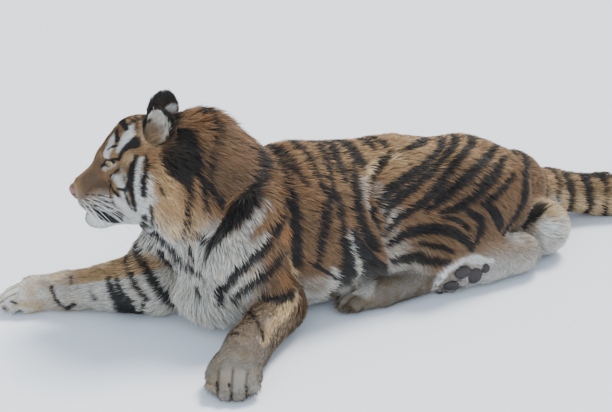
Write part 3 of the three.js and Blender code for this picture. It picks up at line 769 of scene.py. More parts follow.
def mirror_trunk(p, n):
    """The same place on the animal's other side: the trunk's own left-right mirror."""
    roll = np.radians(34) * ramp(p[:, 0], 120, 620)
    middle = np.interp(p[:, 0], [-420, -150, 250, 560, 800], [60, 20, 40, 80, 125])
    height = np.interp(p[:, 0], [-420, -150, 250, 560, 800], [400, 280, 250, 210, 170])
    left = np.stack([np.zeros(len(p)), -np.cos(roll), np.sin(roll)], 1)
    centre = np.stack([p[:, 0], middle, height], 1)
    side = ((p - centre) * left).sum(1, keepdims=True)
    return p - 2 * side * left, n - 2 * (n * left).sum(1, keepdims=True) * left, side[:, 0]


def both_sides(p, n, mirror):
    """Points and normals of some markings, then their mirror images where there are any."""
    if mirror == "trunk":
        return [(p, n), mirror_trunk(p, n)[:2]]
    if mirror == "head":
        flip = vec(1, -1, 1)
        return [(p, n), (from_head(to_head(p) * flip), (n @ HEAD_AXES * flip) @ HEAD_AXES.T)]
    return [(p, n)]


STRIPE_CACHE = {}


def stripe_set(name, table, mirror, boost=0.56):
    """Segments of one set of stripes on the skin: ends, half widths, normals, side."""
    if name in STRIPE_CACHE:
        return STRIPE_CACHE[name]
    rows = [np.reshape(row, (-1, 3)).astype(float) for row in table]
    points = np.concatenate(rows)
    p, n, scale = onto_skin(points[:, :2])
    halves = points[:, 2] * scale * boost
    sets = both_sides(p, n, mirror)
    if mirror == "trunk":
        sets[1] = (settle(base_field, sets[1][0], 4, 30.0), sets[1][1])
    out = []
    for k, (q, m) in enumerate(sets):
        i = 0
        for row in rows:
            for j in range(i, i + len(row) - 1):
                out.append((q[j], q[j + 1], halves[j], halves[j + 1], m[j], k))
            i += len(row)
    STRIPE_CACHE[name] = out
    return out


def stripe_mask(p, n, segments, ragged, side=None, soft=1.0):
    """How dark the stripes are at p: 1 inside, 0 outside, with hair-broken edges."""
    mask = np.zeros(len(p))
    wobble = ragged * (2.6 * noise(p, 9.0, 3) + 2.2 * noise(p, 26.0, 5))
    for a, b, ha, hb, m, copy in segments:
        middle, reach = (a + b) / 2, np.linalg.norm(b - a) / 2 + max(ha, hb) + 8 + 5 * soft
        near = np.flatnonzero((np.abs(p - middle) < reach).all(1))
        if not len(near):
            continue
        ok = (n[near] @ m) > -0.1
        if side is not None:
            ok &= (side[near] > -18) if copy == 0 else (side[near] < 18)
        near = near[ok]
        ab = b - a
        t = np.clip(((p[near] - a) @ ab) / (ab @ ab + 1e-9), 0, 1)
        d = np.linalg.norm(p[near] - a - t[:, None] * ab, axis=1) - (ha + (hb - ha) * t)
        mask[near] = np.maximum(mask[near], 1 - ramp(d + wobble[near], -2.2 * soft, 2.6 * soft))
    return mask


TAIL_LINE = [(820, 135, 185), (1010, 165, 112), (1230, 120, 74), (1440, -20, 54), (1490, -54, 50)]


def tail_station(p):
    """Distance along the tail, mm from its root."""
    line = [vec(*point) for point in TAIL_LINE]
    best, where, run = np.full(len(p), 1e9), np.zeros(len(p)), 0.0
    for a, b in zip(line, line[1:]):
        ab = b - a
        t = np.clip(((p - a) @ ab) / (ab @ ab), 0, 1)
        d = np.linalg.norm(p - a - t[:, None] * ab, axis=1)
        near = d < best
        best[near], where[near] = d[near], (run + t * np.linalg.norm(ab))[near]
        run += np.linalg.norm(ab)
    return where


# dark rings of the tail: place along it and half width, mm; the last is the tip
TAIL_RINGS = [(40, 8), (112, 12), (190, 18), (268, 19), (348, 19), (430, 20), (510, 20), (590, 22),
              (725, 70)]


TRUNK_SETS = (  # name, stripes, scale of their widths, raggedness of their edges
    ("trunk", TRUNK_STRIPES, 0.88, 0.45),
    ("hip", HIP_STRIPES, 0.70, 0.45),
    ("neck", NECK_STRIPES, 0.78, 0.5),
)


def mix(a, b, t):
    return a * (1 - t[:, None]) + b * t[:, None]


def tone(name, level=1.0):
    return COLOURS[name][None] * level


def paint(p, n, fields, q):
    """Coat colour at skin points p with normals n, with painted shade and painted highlights."""
    w = named_weights(fields, 16.0)
    blotch = noise(p, 60, 11) * 0.5 + noise(p, 22, 12) * 0.5
    # back and flanks: rust, golden on top as a painted highlight, umber lower down the side as painted
    # shade, paler low on the side and underneath
    lit_top = 0.62 * ramp(p[:, 2], 330, 470) * ramp(p[:, 0], -220, 150)
    body = mix(tone("rust"), tone("gold"), np.clip(lit_top + 0.16 * blotch, 0, 1))
    body = mix(body, tone("umber"), np.clip(0.5 * (1 - ramp(p[:, 2], 200, 380)) + 0.2 * blotch, 0, 1))
    low = 1 - ramp(p[:, 2] + 14 * blotch + 55 * n[:, 2], 60, 170)
    body = mix(body, tone("cream"), low * (w["belly"] + w["chest"] + 0.75 * w["rump"]))
    # bib and collar
    front = ramp(-p[:, 0] + 16 * blotch, 350, 430) * (1 - ramp(p[:, 2] + 0.35 * (p[:, 0] + 400), 290, 380))
    front = front * share(w, ("chest", "neck", "upper_arm_left", "upper_arm_right"))
    body = mix(body, tone("cream", 0.95), np.clip(front, 0, 1))
    collar = 1 - ramp(p[:, 2] + 30 * blotch + 0.35 * (p[:, 0] + 400), 265, 340)
    body = mix(body, tone("cream"), np.clip(collar * (w["neck"] + w["ruff"]), 0, 1) * 0.9)
    mane = mix(tone("orange"), tone("gold"), np.clip(0.4 + blotch, 0, 1))
    body = mix(body, mane, np.clip(w["ruff"] * (1 - collar), 0, 1) * 0.8)
    # forelegs
    sleeve = mix(tone("umber", 1.25), tone("tan"), ramp(-p[:, 1] + 20 * blotch, 250, 400))
    body = mix(body, sleeve, w["forearm_left"])
    # the near forepaw's pale fur drawn tan and grey: painted shade
    paw = mix(tone("tan", 0.95), tone("grey"), np.clip(0.55 + 0.9 * blotch, 0, 1))
    body = mix(body, paw, w["forepaw_left"])
    inner = np.clip(-n[:, 1] * 1.1 + 0.25 - 0.8 * ramp(n[:, 2], 0.35, 0.8), 0, 1)
    body = mix(body, mix(tone("gold", 0.85), tone("cream", 0.95), ramp(inner, 0.1, 0.5)), w["forearm_right"])
    paw = mix(tone("straw", 0.9), tone("white", 0.95), np.clip(0.55 + blotch, 0, 1))
    body = mix(body, paw, w["forepaw_right"])
    # hind legs
    body = mix(body, tone("cream", 0.8), (w["thigh_right"] * 0.8))
    shank = mix(tone("rust"), tone("gold", 0.75), np.clip(0.5 + blotch, 0, 1))
    body = mix(body, shank, w["shank_left"] * 0.85)
    body = mix(body, tone("cream", 0.9), w["shank_left"] * (1 - ramp(p[:, 2] + 14 * blotch, 40, 110)))
    body = mix(body, tone("white", 0.9), w["hind_foot_left"])
    paw = mix(tone("tan", 0.75), tone("grey", 0.9), np.clip(0.3 + blotch, 0, 1))
    body = mix(body, paw, w["hind_foot_right"])
    lump = 1 - ramp(np.linalg.norm(p - vec(806, -110, 95), axis=1) + 10 * blotch, 85, 118)
    heel = mix(tone("cream"), tone("straw", 0.8), ramp(n[:, 2] + 0.4 * blotch, 0.25, 0.9))
    body = mix(body, heel, lump * (1 - 0.65 * ramp(n[:, 0], 0.25, 0.85)))
    # shade between the toes
    for name, (mid, ahead, across, _, _) in TOES.items():
        lateral = ((p - mid) @ np.cross(vec(0, 0, 1), ahead)) / across * 1.5
        gap = np.exp(-((lateral - np.round(lateral)) * across / 1.5 / 5.0) ** 2) * (np.abs(lateral) < 1.3)
        gap = gap * ramp((p - mid) @ ahead, 2, 24) * w[name]
        body = mix(body, tone("brown", 0.45), 0.8 * gap)
    # tail
    tan_tail = mix(tone("gold", 0.7), tone("straw", 0.85), 1 - ramp(n[:, 2] + 0.3 * blotch, -0.2, 0.6))
    body = mix(body, tan_tail, np.clip(share(w, TAIL), 0, 1))
    # head
    head = np.clip(w["head"] + w["ear_left"] + w["ear_right"] + w["lower_jaw"], 0, 1)
    face = mix(tone("rust", 0.95), tone("gold"), np.clip(0.3 + 0.5 * blotch, 0, 1))
    face = mix(face, tone("cream"), 1 - ramp(q[:, 2] - 0.12 * (q[:, 0] - 150) + 6 * blotch, -50, 20))
    body = mix(body, face, head)
    everywhere = np.clip(1 - head * ramp(q[:, 0], 40, 120), 0, 1)
    _, _, side = mirror_trunk(p, n)
    body = lay_patches("body", BODY_PATCHES, body, p, n, everywhere, "trunk")
    body = lay_strokes("body", BODY_STROKES, body, p, n, everywhere, "trunk", side)
    on_face = np.clip(head + w["ruff"] * 0.6, 0, 1)
    body = lay_patches("head", HEAD_PATCHES, body, p, n, on_face, "head")
    body = lay_strokes("head", HEAD_STROKES, body, p, n, on_face, "head")
    for s in (1, -1):
        lobe = w["ear_left"] if s > 0 else w["ear_right"]
        r = q - sided(EAR, s)
        local = r @ EAR_TURNS[s]
        reach = np.linalg.norm((local - EAR_HOLLOW) / EAR_HOLLOW_SIZE, axis=1)
        facing = (unit(EAR_HOLLOW - local) * (n @ HEAD_AXES @ EAR_TURNS[s])).sum(1)
        behind = np.maximum(1 - ramp(facing, 0.0, 0.35), ramp(reach, 1.55, 1.75))
        body = mix(body, tone("black", 1.3), behind * lobe)
        spot = 1 - ramp(np.linalg.norm((local - vec(-30, s * 8, 10)) / vec(1.6, 1.25, 0.85), axis=1), 13, 18)
        body = mix(body, tone("white"), spot * behind * lobe)
        inside = (1 - behind) * ramp(local[:, 2], -48, -26)
        shade = ramp(local[:, 2] + 0.8 * s * local[:, 1] + 8 * noise(p, 8, 14), -34, 14)[:, None]
        body = mix(body, tone("cream", 1.1) * shade + tone("tan", 0.6) * (1 - shade), inside * lobe)
    # stripes
    trunk = np.clip(share(w, STRIPED_TRUNK) + w["head"] * (1 - ramp(q[:, 0], 20, 60)), 0, 1)
    dark = np.zeros(len(p))
    for name, table, boost, ragged in TRUNK_SETS:
        dark = np.maximum(dark, stripe_mask(p, n, stripe_set(name, table, "trunk", boost), ragged, side))
    dark = np.maximum(dark * trunk, stripe_mask(p, n, stripe_set("leg", LEG_STRIPES, None, 0.74), 0.4))
    on_head = np.clip(head + w["ruff"], 0, 1)
    for s in (1, -1):
        far, u, _, slit = eye_frame(q, s)
        rim = ramp(slit, -6.4, -4.0) * (1 - ramp(far, EYE_R + 9, EYE_R + 14)) * (u > 0)
        tear = 1 - ramp(cone(q, sided((232, 46, 88), s), sided((250, 46, 76), s), 3.4, 1.6), -1, 2)
        dark = np.maximum(dark, np.maximum(rim, tear) * on_head)
    dark = np.maximum(dark, stripe_mask(p, n, stripe_set("head", HEAD_STRIPES, "head"), 0.35) * on_head)
    along = tail_station(p) + 7 * noise(p, 30, 8) + 20 * (n[:, 2] - 0.4)
    rings = np.zeros(len(p))
    for at, half in TAIL_RINGS:
        inside = half * (0.75 + 0.4 * ramp(n[:, 2], -0.6, 0.6))
        rings = np.maximum(rings, 1 - ramp(np.abs(along - at) - inside, -4, 4))
    rings = np.maximum(rings, 0.9 * ramp(n[:, 2] + 0.06 * noise(p, 15, 9), 0.90, 0.97))
    dark = np.maximum(dark, rings * np.clip(w["tail_middle"] + w["tail_end"] + 0.8 * w["tail_base"], 0, 1))
    return mix(body, tone("black"), np.clip(dark, 0, 1) * 0.97)


def lay_strokes(name, table, body, p, n, allowed, mirror, side=None):
    """Mixes the soft-edged strokes of a table over the colours of the skin points p."""
    for k, (line, colour, strength) in enumerate(table):
        segments = stripe_set(f"{name} stroke {k}", [line], mirror)
        cover = stripe_mask(p, n, segments, 1.0, side, 3.0) * strength * allowed
        body = mix(body, tone(colour), cover)
    return body


PATCH_CACHE = {}


def lay_patches(name, table, body, p, n, allowed, mirror):
    """Mixes the soft-edged patches of a table over the colours of the skin points p."""
    if name not in PATCH_CACHE:
        at, m, scale = onto_skin([row[:2] for row in table])
        PATCH_CACHE[name] = both_sides(at, m, mirror)
        PATCH_CACHE[name + " scale"] = scale
    wobble = 3.5 * noise(p, 9, 21) + 3.5 * noise(p, 24, 22)
    scale = PATCH_CACHE[name + " scale"]
    for k, (_, _, radius, colour, soft, strength) in enumerate(table):
        cover = np.zeros(len(p))
        for at, m in PATCH_CACHE[name]:
            r = radius * scale[k]
            near = np.flatnonzero((np.abs(p - at[k]) < r * 1.5 + 8).all(1))
            near = near[(n[near] @ m[k]) > -0.2]
            d = np.linalg.norm(p[near] - at[k], axis=1) + wobble[near]
            cover[near] = np.maximum(cover[near], 1 - ramp(d, r * (1 - soft), r * (1 + soft * 0.35)))
        body = mix(body, tone(colour), cover * strength * allowed)
    return body


# ------------------------------------------------------------------ lie and length of the coat
def lie_of(p, n, fields, q):
    """Direction of the hair along the skin, and its length in mm."""
    w = weights_of(fields, 24.0)
    named = dict(zip(PART_NAMES, w))
    lie = np.zeros_like(p)
    for name, (_, _, _, towards) in LIMBS.items():
        lie += named[name][:, None] * vec(*towards)
    back = HEAD_AXES[:, 0] * -1.0
    out = HEAD_AXES[:, 1]
    up = HEAD_AXES[:, 2]
    s = np.sign(q[:, 1])[:, None]
    cheek = ramp(-q[:, 2], -70, 20)[:, None]
    head_lie = back + 0.30 * s * out * (1 - cheek) + cheek * (0.25 * s * out - 0.75 * up)
    head_lie = head_lie + (ramp(q[:, 0], 300, 345)[:, None]) * (s * out * 0.8)
    for name in ("head", "lower_jaw"):
        lie += named[name][:, None] * head_lie
    lie += named["ruff"][:, None] * (0.45 * back + 0.2 * s * out - 0.85 * up)
    for name in ("ear_left", "ear_right"):
        lie += named[name][:, None] * (up + 0.25 * back)
    for s1 in (1, -1):
        away = q - sided(EYE, s1)
        gap = np.linalg.norm(away, axis=1)
        push = np.exp(-((gap - EYE_R) / 15.0) ** 2)[:, None]
        lie += 1.6 * push * (unit(away) @ HEAD_AXES.T)
    lie += 0.16 * np.stack([noise(p, 70, 31), noise(p, 70, 32), noise(p, 70, 33)], 1)
    lie = unit(lie - (lie * n).sum(1, keepdims=True) * n)
    length = LENGTHS @ w
    face = named["head"] + named["lower_jaw"]
    on_face = 6 + 12 * ramp(-q[:, 0], -290, -120) + 30 * ramp(-q[:, 0], -165, -60) * ramp(-q[:, 2], -70, 10)
    on_face += 22 * ramp(-q[:, 0], -60, 20)
    length = length * (1 - face) + on_face * face
    for s1 in (1, -1):
        gap = np.linalg.norm(q - sided(EYE, s1), axis=1) - EYE_R
        length = np.minimum(length, 3.5 + 0.42 * np.maximum(gap - 3, 0))
    rim = np.zeros(len(p))
    for s1, name in ((1, "ear_left"), (-1, "ear_right")):
        local = (q - sided(EAR, s1)) @ EAR_TURNS[s1]
        rim += named[name] * ramp(local[:, 0], -4, 10) * 14
    return lie, length + rim, named


# ------------------------------------------------------------------ shared working data
WORK = {}


def refine(verts, quads, chosen, turns):
    """Splits chosen quads of a mesh evenly, keeping it closed."""
    bm = bmesh.new()
    for v in verts:
        bm.verts.new(v)
    bm.verts.ensure_lookup_table()
    picked = []
    for k, f in enumerate(quads.tolist()):
        try:
            face = bm.faces.new([bm.verts[i] for i in f])
        except ValueError:
            continue
        if chosen[k]:
            picked.append(face)
    edges = list({e for f in picked for e in f.edges})
    bmesh.ops.subdivide_edges(bm, edges=edges, cuts=turns, use_grid_fill=True)
    bmesh.ops.triangulate(bm, faces=[f for f in bm.faces if len(f.verts) > 4])
    bm.verts.index_update()
    points = np.array([v.co for v in bm.verts])
    tris = []
    for f in bm.faces:
        i = [v.index for v in f.verts]
        tris.append((i[0], i[1], i[2]))
        if len(i) == 4:
            tris.append((i[0], i[2], i[3]))
    bm.free()
    return points, np.array(tris)


SKIN_BOX = ((-1080, -650, -12), (1520, 430, 730))


def skin_data(step):
    if "skin" in WORK:
        return WORK["skin"]
    FOLDS["thigh"] = onto_skin(FOLD_PIXELS)[0]
    rough = lambda p: skin_field(p, detail=False)
    verts, quads = net(rough, *SKIN_BOX, step)
    verts = settle(rough, verts, 1, step * 0.5)
    WORK["base"] = (verts, quads)
    fields, q = part_fields(verts)
    w = named_weights(fields, 10.0)
    head = share(w, HEAD_GROUP) > 0.4
    fine = head & (q[:, 0] > 30)
    paws = share(w, PAWS) > 0.5
    verts, tris = refine(verts, quads, (fine | paws)[quads].any(1), 3)
    verts = settle(skin_field, verts, 3, 4.0)
    verts[:, 2] = np.maximum(verts[:, 2], 1.0)
    _, g = slope_of(skin_field, verts)
    WORK["skin"] = (verts, tris, unit(g))
    return WORK["skin"]


def unwrap(obj, name, margin):
    """A smart unwrap of a mesh's own shape, returned per triangle corner."""
    layer = obj.data.uv_layers.new(name=name)
    bpy.context.view_layer.objects.active = obj
    for other in bpy.context.selected_objects:
        other.select_set(False)
    obj.select_set(True)
    bpy.ops.object.mode_set(mode="EDIT")
    bpy.ops.mesh.select_all(action="SELECT")
    bpy.ops.uv.smart_project(angle_limit=math.radians(66), island_margin=margin)
    bpy.ops.object.mode_set(mode="OBJECT")
    obj.select_set(False)
    uv = np.empty(len(obj.data.loops) * 2, np.float32)
    obj.data.uv_layers[name].data.foreach_get("uv", uv)
    return uv.reshape(-1, 2)


# ------------------------------------------------------------------ materials
def principled(name, base, roughness, paint_layer=None, vary=None, bump=None, **sockets):
    """A material; vary is the scale, low and high of a fine tone, bump the scale, strength and distance."""
    mat = bpy.data.materials.new(name)
    mat.use_nodes = True
    nodes, links = mat.node_tree.nodes, mat.node_tree.links
    shader = nodes["Principled BSDF"]
    shader.inputs["Base Color"].default_value = (*base, 1)
    shader.inputs["Roughness"].default_value = roughness
    for key, value in sockets.items():
        shader.inputs[key.replace("_", " ")].default_value = value

    def grain_of(scale, detail):
        coords = nodes.new("ShaderNodeTexCoord")
        grain = nodes.new("ShaderNodeTexNoise")
        grain.inputs["Scale"].default_value = scale
        grain.inputs["Detail"].default_value = detail
        links.new(coords.outputs["Object"], grain.inputs["Vector"])
        return grain.outputs["Fac"]

    if paint_layer:
        colour = nodes.new("ShaderNodeVertexColor")
        colour.layer_name = paint_layer
        grain = grain_of(vary[0], 5)
        spread = nodes.new("ShaderNodeMapRange")
        spread.inputs["To Min"].default_value = vary[1]
        spread.inputs["To Max"].default_value = vary[2]
        mixer = nodes.new("ShaderNodeMix")
        mixer.data_type = "RGBA"
        mixer.blend_type = "MULTIPLY"
        mixer.inputs["Factor"].default_value = 1.0
        links.new(grain, spread.inputs["Value"])
        links.new(colour.outputs["Color"], mixer.inputs[6])
        links.new(spread.outputs["Result"], mixer.inputs[7])
        links.new(mixer.outputs[2], shader.inputs["Base Color"])
    if bump:
        grain = grain_of(bump[0], 4)
        relief = nodes.new("ShaderNodeBump")
        relief.inputs["Strength"].default_value = bump[1]
        relief.inputs["Distance"].default_value = bump[2]
        links.new(grain, relief.inputs["Height"])
        links.new(relief.outputs["Normal"], shader.inputs["Normal"])
    return mat


def settings():
    return bpy.context.scene.tiger_settings


# ------------------------------------------------------------------ settings
class TigerSettings(bpy.types.PropertyGroup):
    skin_step: FloatProperty(name="Skin step",
                             description="Grid step of the skin before it is refined on the face and feet",
                             default=9.0, min=6.0, max=20.0, unit="NONE")
    hairs: IntProperty(name="Hairs", description="Number of locks in the whole coat", default=282000,
                       min=1000, max=290000)
    hair_width: FloatProperty(name="Hair width", description="Width of a lock at its root, millimetres",
                              default=2.2, min=0.5, max=6.0)
    floor_colour: FloatVectorProperty(name="Floor colour", description="Colour of the pale floor",
                                      subtype="COLOR", size=3,
                                      default=(0.86, 0.91, 0.98), min=0, max=1)
    iris_colour: FloatVectorProperty(name="Iris colour", description="Colour of the iris", subtype="COLOR",
                                     size=3,
                                     default=(0.26, 0.155, 0.042), min=0, max=1)
    nose_colour: FloatVectorProperty(name="Nose colour", description="Colour of the nose leather",
                                     subtype="COLOR", size=3,
                                     default=(0.215, 0.098, 0.078), min=0, max=1)


FLESH = ["head", "lower_jaw", "ear_left", "ear_right", "neck", "chest", "belly", "rump", "tail_base",
         "tail_middle", "tail_end",
         "upper_arm_left", "forearm_left", "forepaw_left", "upper_arm_right", "forearm_right",
         "forepaw_right",
         "thigh_left", "shank_left", "hind_foot_left", "thigh_right", "hind_foot_right"]


class TIGER_OT_skin(bpy.types.Operator):
    """Build the one skin that covers the whole animal, with the coat's markings"""
    bl_idname = "tiger.skin"
    bl_label = "Skin"

    def execute(self, context):
        verts, tris, normals = skin_data(settings().skin_step)
        obj = mesh_object("skin", verts, tris)
        colours = np.empty((len(verts), 3))
        for i in range(0, len(verts), PAINT_BATCH):
            part = slice(i, i + PAINT_BATCH)
            fields, q = part_fields(verts[part])
            colours[part] = paint(verts[part], normals[part], fields, q)
        colour_points(obj.data, "skin_colour", np.clip(colours * 0.80, 0, 1))
        mat = principled("tiger_skin", (0.4, 0.2, 0.08), 0.78, "skin_colour", (260.0, 0.72, 1.22),
                         (420.0, 0.5, 0.0012), Specular_IOR_Level=0.25)
        obj.data.materials.append(mat)
        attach(obj, "root")
        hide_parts(*FLESH)
        return {"FINISHED"}


def sample_roots(count, rng):
    """Random places on the base skin, denser where the coat is short; with unwrap places."""
    verts, quads = WORK["base"]
    tris = np.concatenate([quads[:, [0, 1, 2]], quads[:, [0, 2, 3]]])
    guide = mesh_object("unwrap_guide", verts, tris)
    uv = unwrap(guide, "OFBake", 0.004).reshape(-1, 3, 2)
    bpy.data.objects.remove(guide, do_unlink=True)
    a, b, c = verts[tris[:, 0]], verts[tris[:, 1]], verts[tris[:, 2]]
    area = np.linalg.norm(np.cross(b - a, c - a), axis=1) / 2
    middle = (a + b + c) / 3
    fields, q = part_fields(middle)
    w = named_weights(fields, 16.0)
    face = w["head"] * ramp(q[:, 0], 40, 130) + w["lower_jaw"] + w["ear_left"] + w["ear_right"]
    paws = share(w, PAWS)
    density = 1 + 2.6 * face + 1.1 * paws + 0.25 * w["ruff"] - 0.25 * w["belly"] * (middle[:, 2] < 60)
    density *= np.where(middle[:, 2] < 6.0, 0.05, 1.0)
    chance = area * density
    pick = rng.choice(len(tris), size=count, p=chance / chance.sum())
    r1, r2 = np.sqrt(rng.random(count)), rng.random(count)
    bary = np.stack([1 - r1, r1 * (1 - r2), r1 * r2], 1)
    p = sum(bary[:, k, None] * verts[tris[pick, k]] for k in range(3))
    place = sum(bary[:, k, None] * uv[pick, k] for k in range(3))
    return p, place


# a lock's stations from root to tip, its width at the first three, and the
# shade of its seven vertices (two at each of those, one at the tip)
LOCK_STATIONS = np.array([0.0, 0.38, 0.74, 1.0])
LOCK_TAPER = (1.0, 0.86, 0.5)
# painted shade at the root of each lock and painted highlight towards its tip
LOCK_SHADE = np.array([0.42, 0.42, 0.84, 0.84, 1.12, 1.12, 1.34])
LOCK_CORNERS = np.array([[-1, -1], [1, -1], [-1, 0], [1, 0], [-1, 0.6], [1, 0.6], [0, 1]]) * 0.0015


def lock_mesh(name, root, normal, lie, length, width, depth, tint, tip_shift, place, rng):
    """One coat piece: every lock is a tapering blade of three faces along a curve."""
    n = len(root)
    across = np.cross(lie, normal)
    lean = rng.normal(0, 0.55, n)[:, None]
    across = unit(across * np.cos(lean) + normal * np.sin(lean))
    rise = (depth / length)[:, None]
    points = []
    for t in LOCK_STATIONS:
        lift = rise * (1.9 * t - 0.95 * t * t)
        points.append(root + length[:, None] * (lie * t * 0.97 + normal * lift) + tip_shift * t * t)
    verts = np.empty((n, 7, 3))
    for k in range(3):
        half = across * (width * LOCK_TAPER[k] / 2)[:, None]
        verts[:, 2 * k] = points[k] - half
        verts[:, 2 * k + 1] = points[k] + half
    verts[:, 6] = points[3]
    verts[:, :, 2] = np.maximum(verts[:, :, 2], 0.6)
    base = (np.arange(n) * 7)[:, None]
    quads = np.concatenate([base + [0, 1, 3, 2], base + [2, 3, 5, 4]], 1).reshape(-1, 4)
    tips = base + [4, 5, 6]
    corners = np.concatenate([quads.reshape(n, 8), tips], 1)
    starts = np.arange(n)[:, None] * 11 + np.array([0, 4, 8])
    mesh = raw_mesh(name, verts.reshape(-1, 3), corners.ravel(), starts.ravel())
    rgb = tint[:, None, :] * LOCK_SHADE[None, :, None]
    colour_points(mesh, "coat_colour", np.clip(rgb.reshape(-1, 3), 0, 1))
    uv = place[:, None, :] + LOCK_CORNERS[None]
    layer = mesh.uv_layers.new(name="OFBake")
    local = np.array([0, 1, 3, 2, 2, 3, 5, 4, 4, 5, 6])
    layer.data.foreach_set("uv", uv[:, local].astype(np.float32).ravel())
    return linked(name, mesh)


COAT_REGIONS = [
    ("coat_face", lambda p, q, w: (share(w, HEAD_GROUP) > 0.5) & (q[:, 0] > 150)),
    ("coat_crown", lambda p, q, w: share(w, HEAD_GROUP) > 0.5),
    ("coat_ruff", lambda p, q, w: w["ruff"] + w["neck"] > 0.5),
    ("coat_forelegs", lambda p, q, w: share(w, FORELEGS) > 0.5),
    ("coat_tail", lambda p, q, w: share(w, TAIL) > 0.5),
    ("coat_hind_legs", lambda p, q, w: share(w, HIND_LEGS) > 0.5),
    ("coat_chest", lambda p, q, w: p[:, 0] < -150),
    ("coat_flank", lambda p, q, w: p[:, 0] < 260),
    ("coat_rump", lambda p, q, w: p[:, 0] < 9999),
]
MOST_LOCKS = 39000                       # in one coat piece
NEAR_PAW = 120.0                         # roots nearer to a paw than this may move further, mm
ROOT_REACH, ROOT_REACH_AT_PAW = 8.0, 24.0
EYE_CLEAR, LID_CLEAR = 8.0, 2.6          # bare skin round the eyeball and beyond the lids, mm
ROOT_SINK = 1.2                          # how deep a lock's root lies in the skin, mm


class TIGER_OT_coat(bpy.types.Operator):
    """Grow the winter coat: short locks on the face and feet, long hanging ones on the ruff and belly"""
    bl_idname = "tiger.coat"
    bl_label = "Coat"

    def execute(self, context):
        rng = np.random.default_rng(RNG_SEED)
        s = settings()
        count = s.hairs // 1
        skin_data(s.skin_step)
        p, place = sample_roots(count, rng)
        f, g = slope_of(skin_field, p)
        to_paw = np.min([np.linalg.norm(p - toe[0], axis=1) for toe in TOES.values()], 0)
        reach = np.where(to_paw < NEAR_PAW, ROOT_REACH_AT_PAW, ROOT_REACH)
        p = p - np.clip(f, -reach, reach)[:, None] * unit(g)
        normal = unit(g)
        fields, q = part_fields(p)
        lie, length, named = lie_of(p, normal, fields, q)
        colour = np.empty_like(p)
        for i in range(0, count, PAINT_BATCH):
            part = slice(i, i + PAINT_BATCH)
            shown = p[part] + lie[part] * (length[part] * rng.normal(0.66, 0.07, len(p[part])))[:, None]
            near_tip, q_tip = part_fields(shown)
            colour[part] = paint(shown, normal[part], near_tip, q_tip)
        # keep clear of the eyes, the nose leather and the foot pads
        keep = np.ones(count, bool)
        for side in (1, -1):
            far, u, _, slit = eye_frame(q, side)
            keep &= ~((far < EYE_R + EYE_CLEAR) & (u > 0) & (slit > -LID_CLEAR))
        nose = ball(q, (346, 0, 18), (24, 30, 30))
        keep &= nose > 2
        keep &= ~pad_mask(p, normal)
        depth = DEPTHS @ np.stack([named[n] for n in PART_NAMES])
        depth = np.minimum(depth, length * 0.42)
        length = length * rng.uniform(0.72, 1.12, count)
        width = s.hair_width * np.clip(length / 34.0, 0.50, 1.25) * rng.uniform(0.75, 1.2, count)
        # locks: neighbouring hairs lean towards a common tip
        cell = np.maximum(length, 8)[:, None]
        clump = np.stack([noise(p, 15, 51), noise(p, 15, 52), noise(p, 15, 53)], 1)
        stray = rng.normal(0, 1, (count, 3))
        tip_shift = cell * (0.17 * clump + 0.055 * stray)
        ruffled = ramp(named["ruff"] + named["neck"] + 0.6 * named["chest"], 0.3, 0.9)
        tip_shift += cell * 0.10 * ruffled[:, None] * stray
        along = (tip_shift * normal).sum(1)
        past = np.minimum(along + 0.04 * length, 0) + np.maximum(along - 0.13 * length, 0)
        tip_shift -= past[:, None] * normal
        level = np.exp(rng.normal(0, 0.20, count))[:, None] * (1 + 0.10 * noise(p, 40, 61))[:, None]
        warm = 1 + rng.normal(0, 0.05, (count, 1)) * np.array([[1.0, 0.0, -1.0]])
        tint = np.clip(colour * level * warm, 0.004, 1)
        root = p - normal * ROOT_SINK
        mat = principled("tiger_coat", (0.5, 0.25, 0.1), 0.62, "coat_colour", (160.0, 0.88, 1.12),
                         Specular_IOR_Level=0.28)
        left = keep.copy()
        for name, test in COAT_REGIONS:
            mine = np.flatnonzero(left & test(p, q, named))
            left[mine] = False
            if not len(mine):
                continue
            parts = math.ceil(len(mine) / MOST_LOCKS)
            mine = mine[np.argsort(p[mine, 0], kind="stable")]
            for k, chosen in enumerate(np.array_split(mine, parts)):
                label = name if parts == 1 else f"{name}_{k + 1}"
                obj = lock_mesh(label, root[chosen], normal[chosen], lie[chosen], length[chosen],
                                width[chosen],
                                depth[chosen], tint[chosen], tip_shift[chosen], place[chosen], rng)
                obj.data.materials.append(mat)
                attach(obj, "root")
        return {"FINISHED"}


# ------------------------------------------------------------------ pads of the turned-up hind foot
PADS = [  # pixel, half length and half height in mm: the broad pad, then the toes
    ((474, 275), 28, 30), ((462, 272), 31, 23), ((450, 283), 28, 20), ((440, 290), 15, 12),
    ((484, 267), 14, 17),
]


def pad_places():
    if "pads" not in WORK:
        at, n, _ = onto_skin([row[0] for row in PADS])
        WORK["pads"] = []
        for place, out, (_, half, high) in zip(at, n, PADS):
            along = unit(np.cross(out, vec(0, 0, 1)))
            turn = np.stack([along, np.cross(out, along), out], 1)
            WORK["pads"].append((place + out * 3.0, np.array([half, high, 11.0]), turn))
    return WORK["pads"]


def pad_mask(p, n):
    mask = np.zeros(len(p), bool)
    for centre, radii, turn in pad_places():
        mask |= ball(p, centre, radii + 3.0, turn) < 0
    return mask


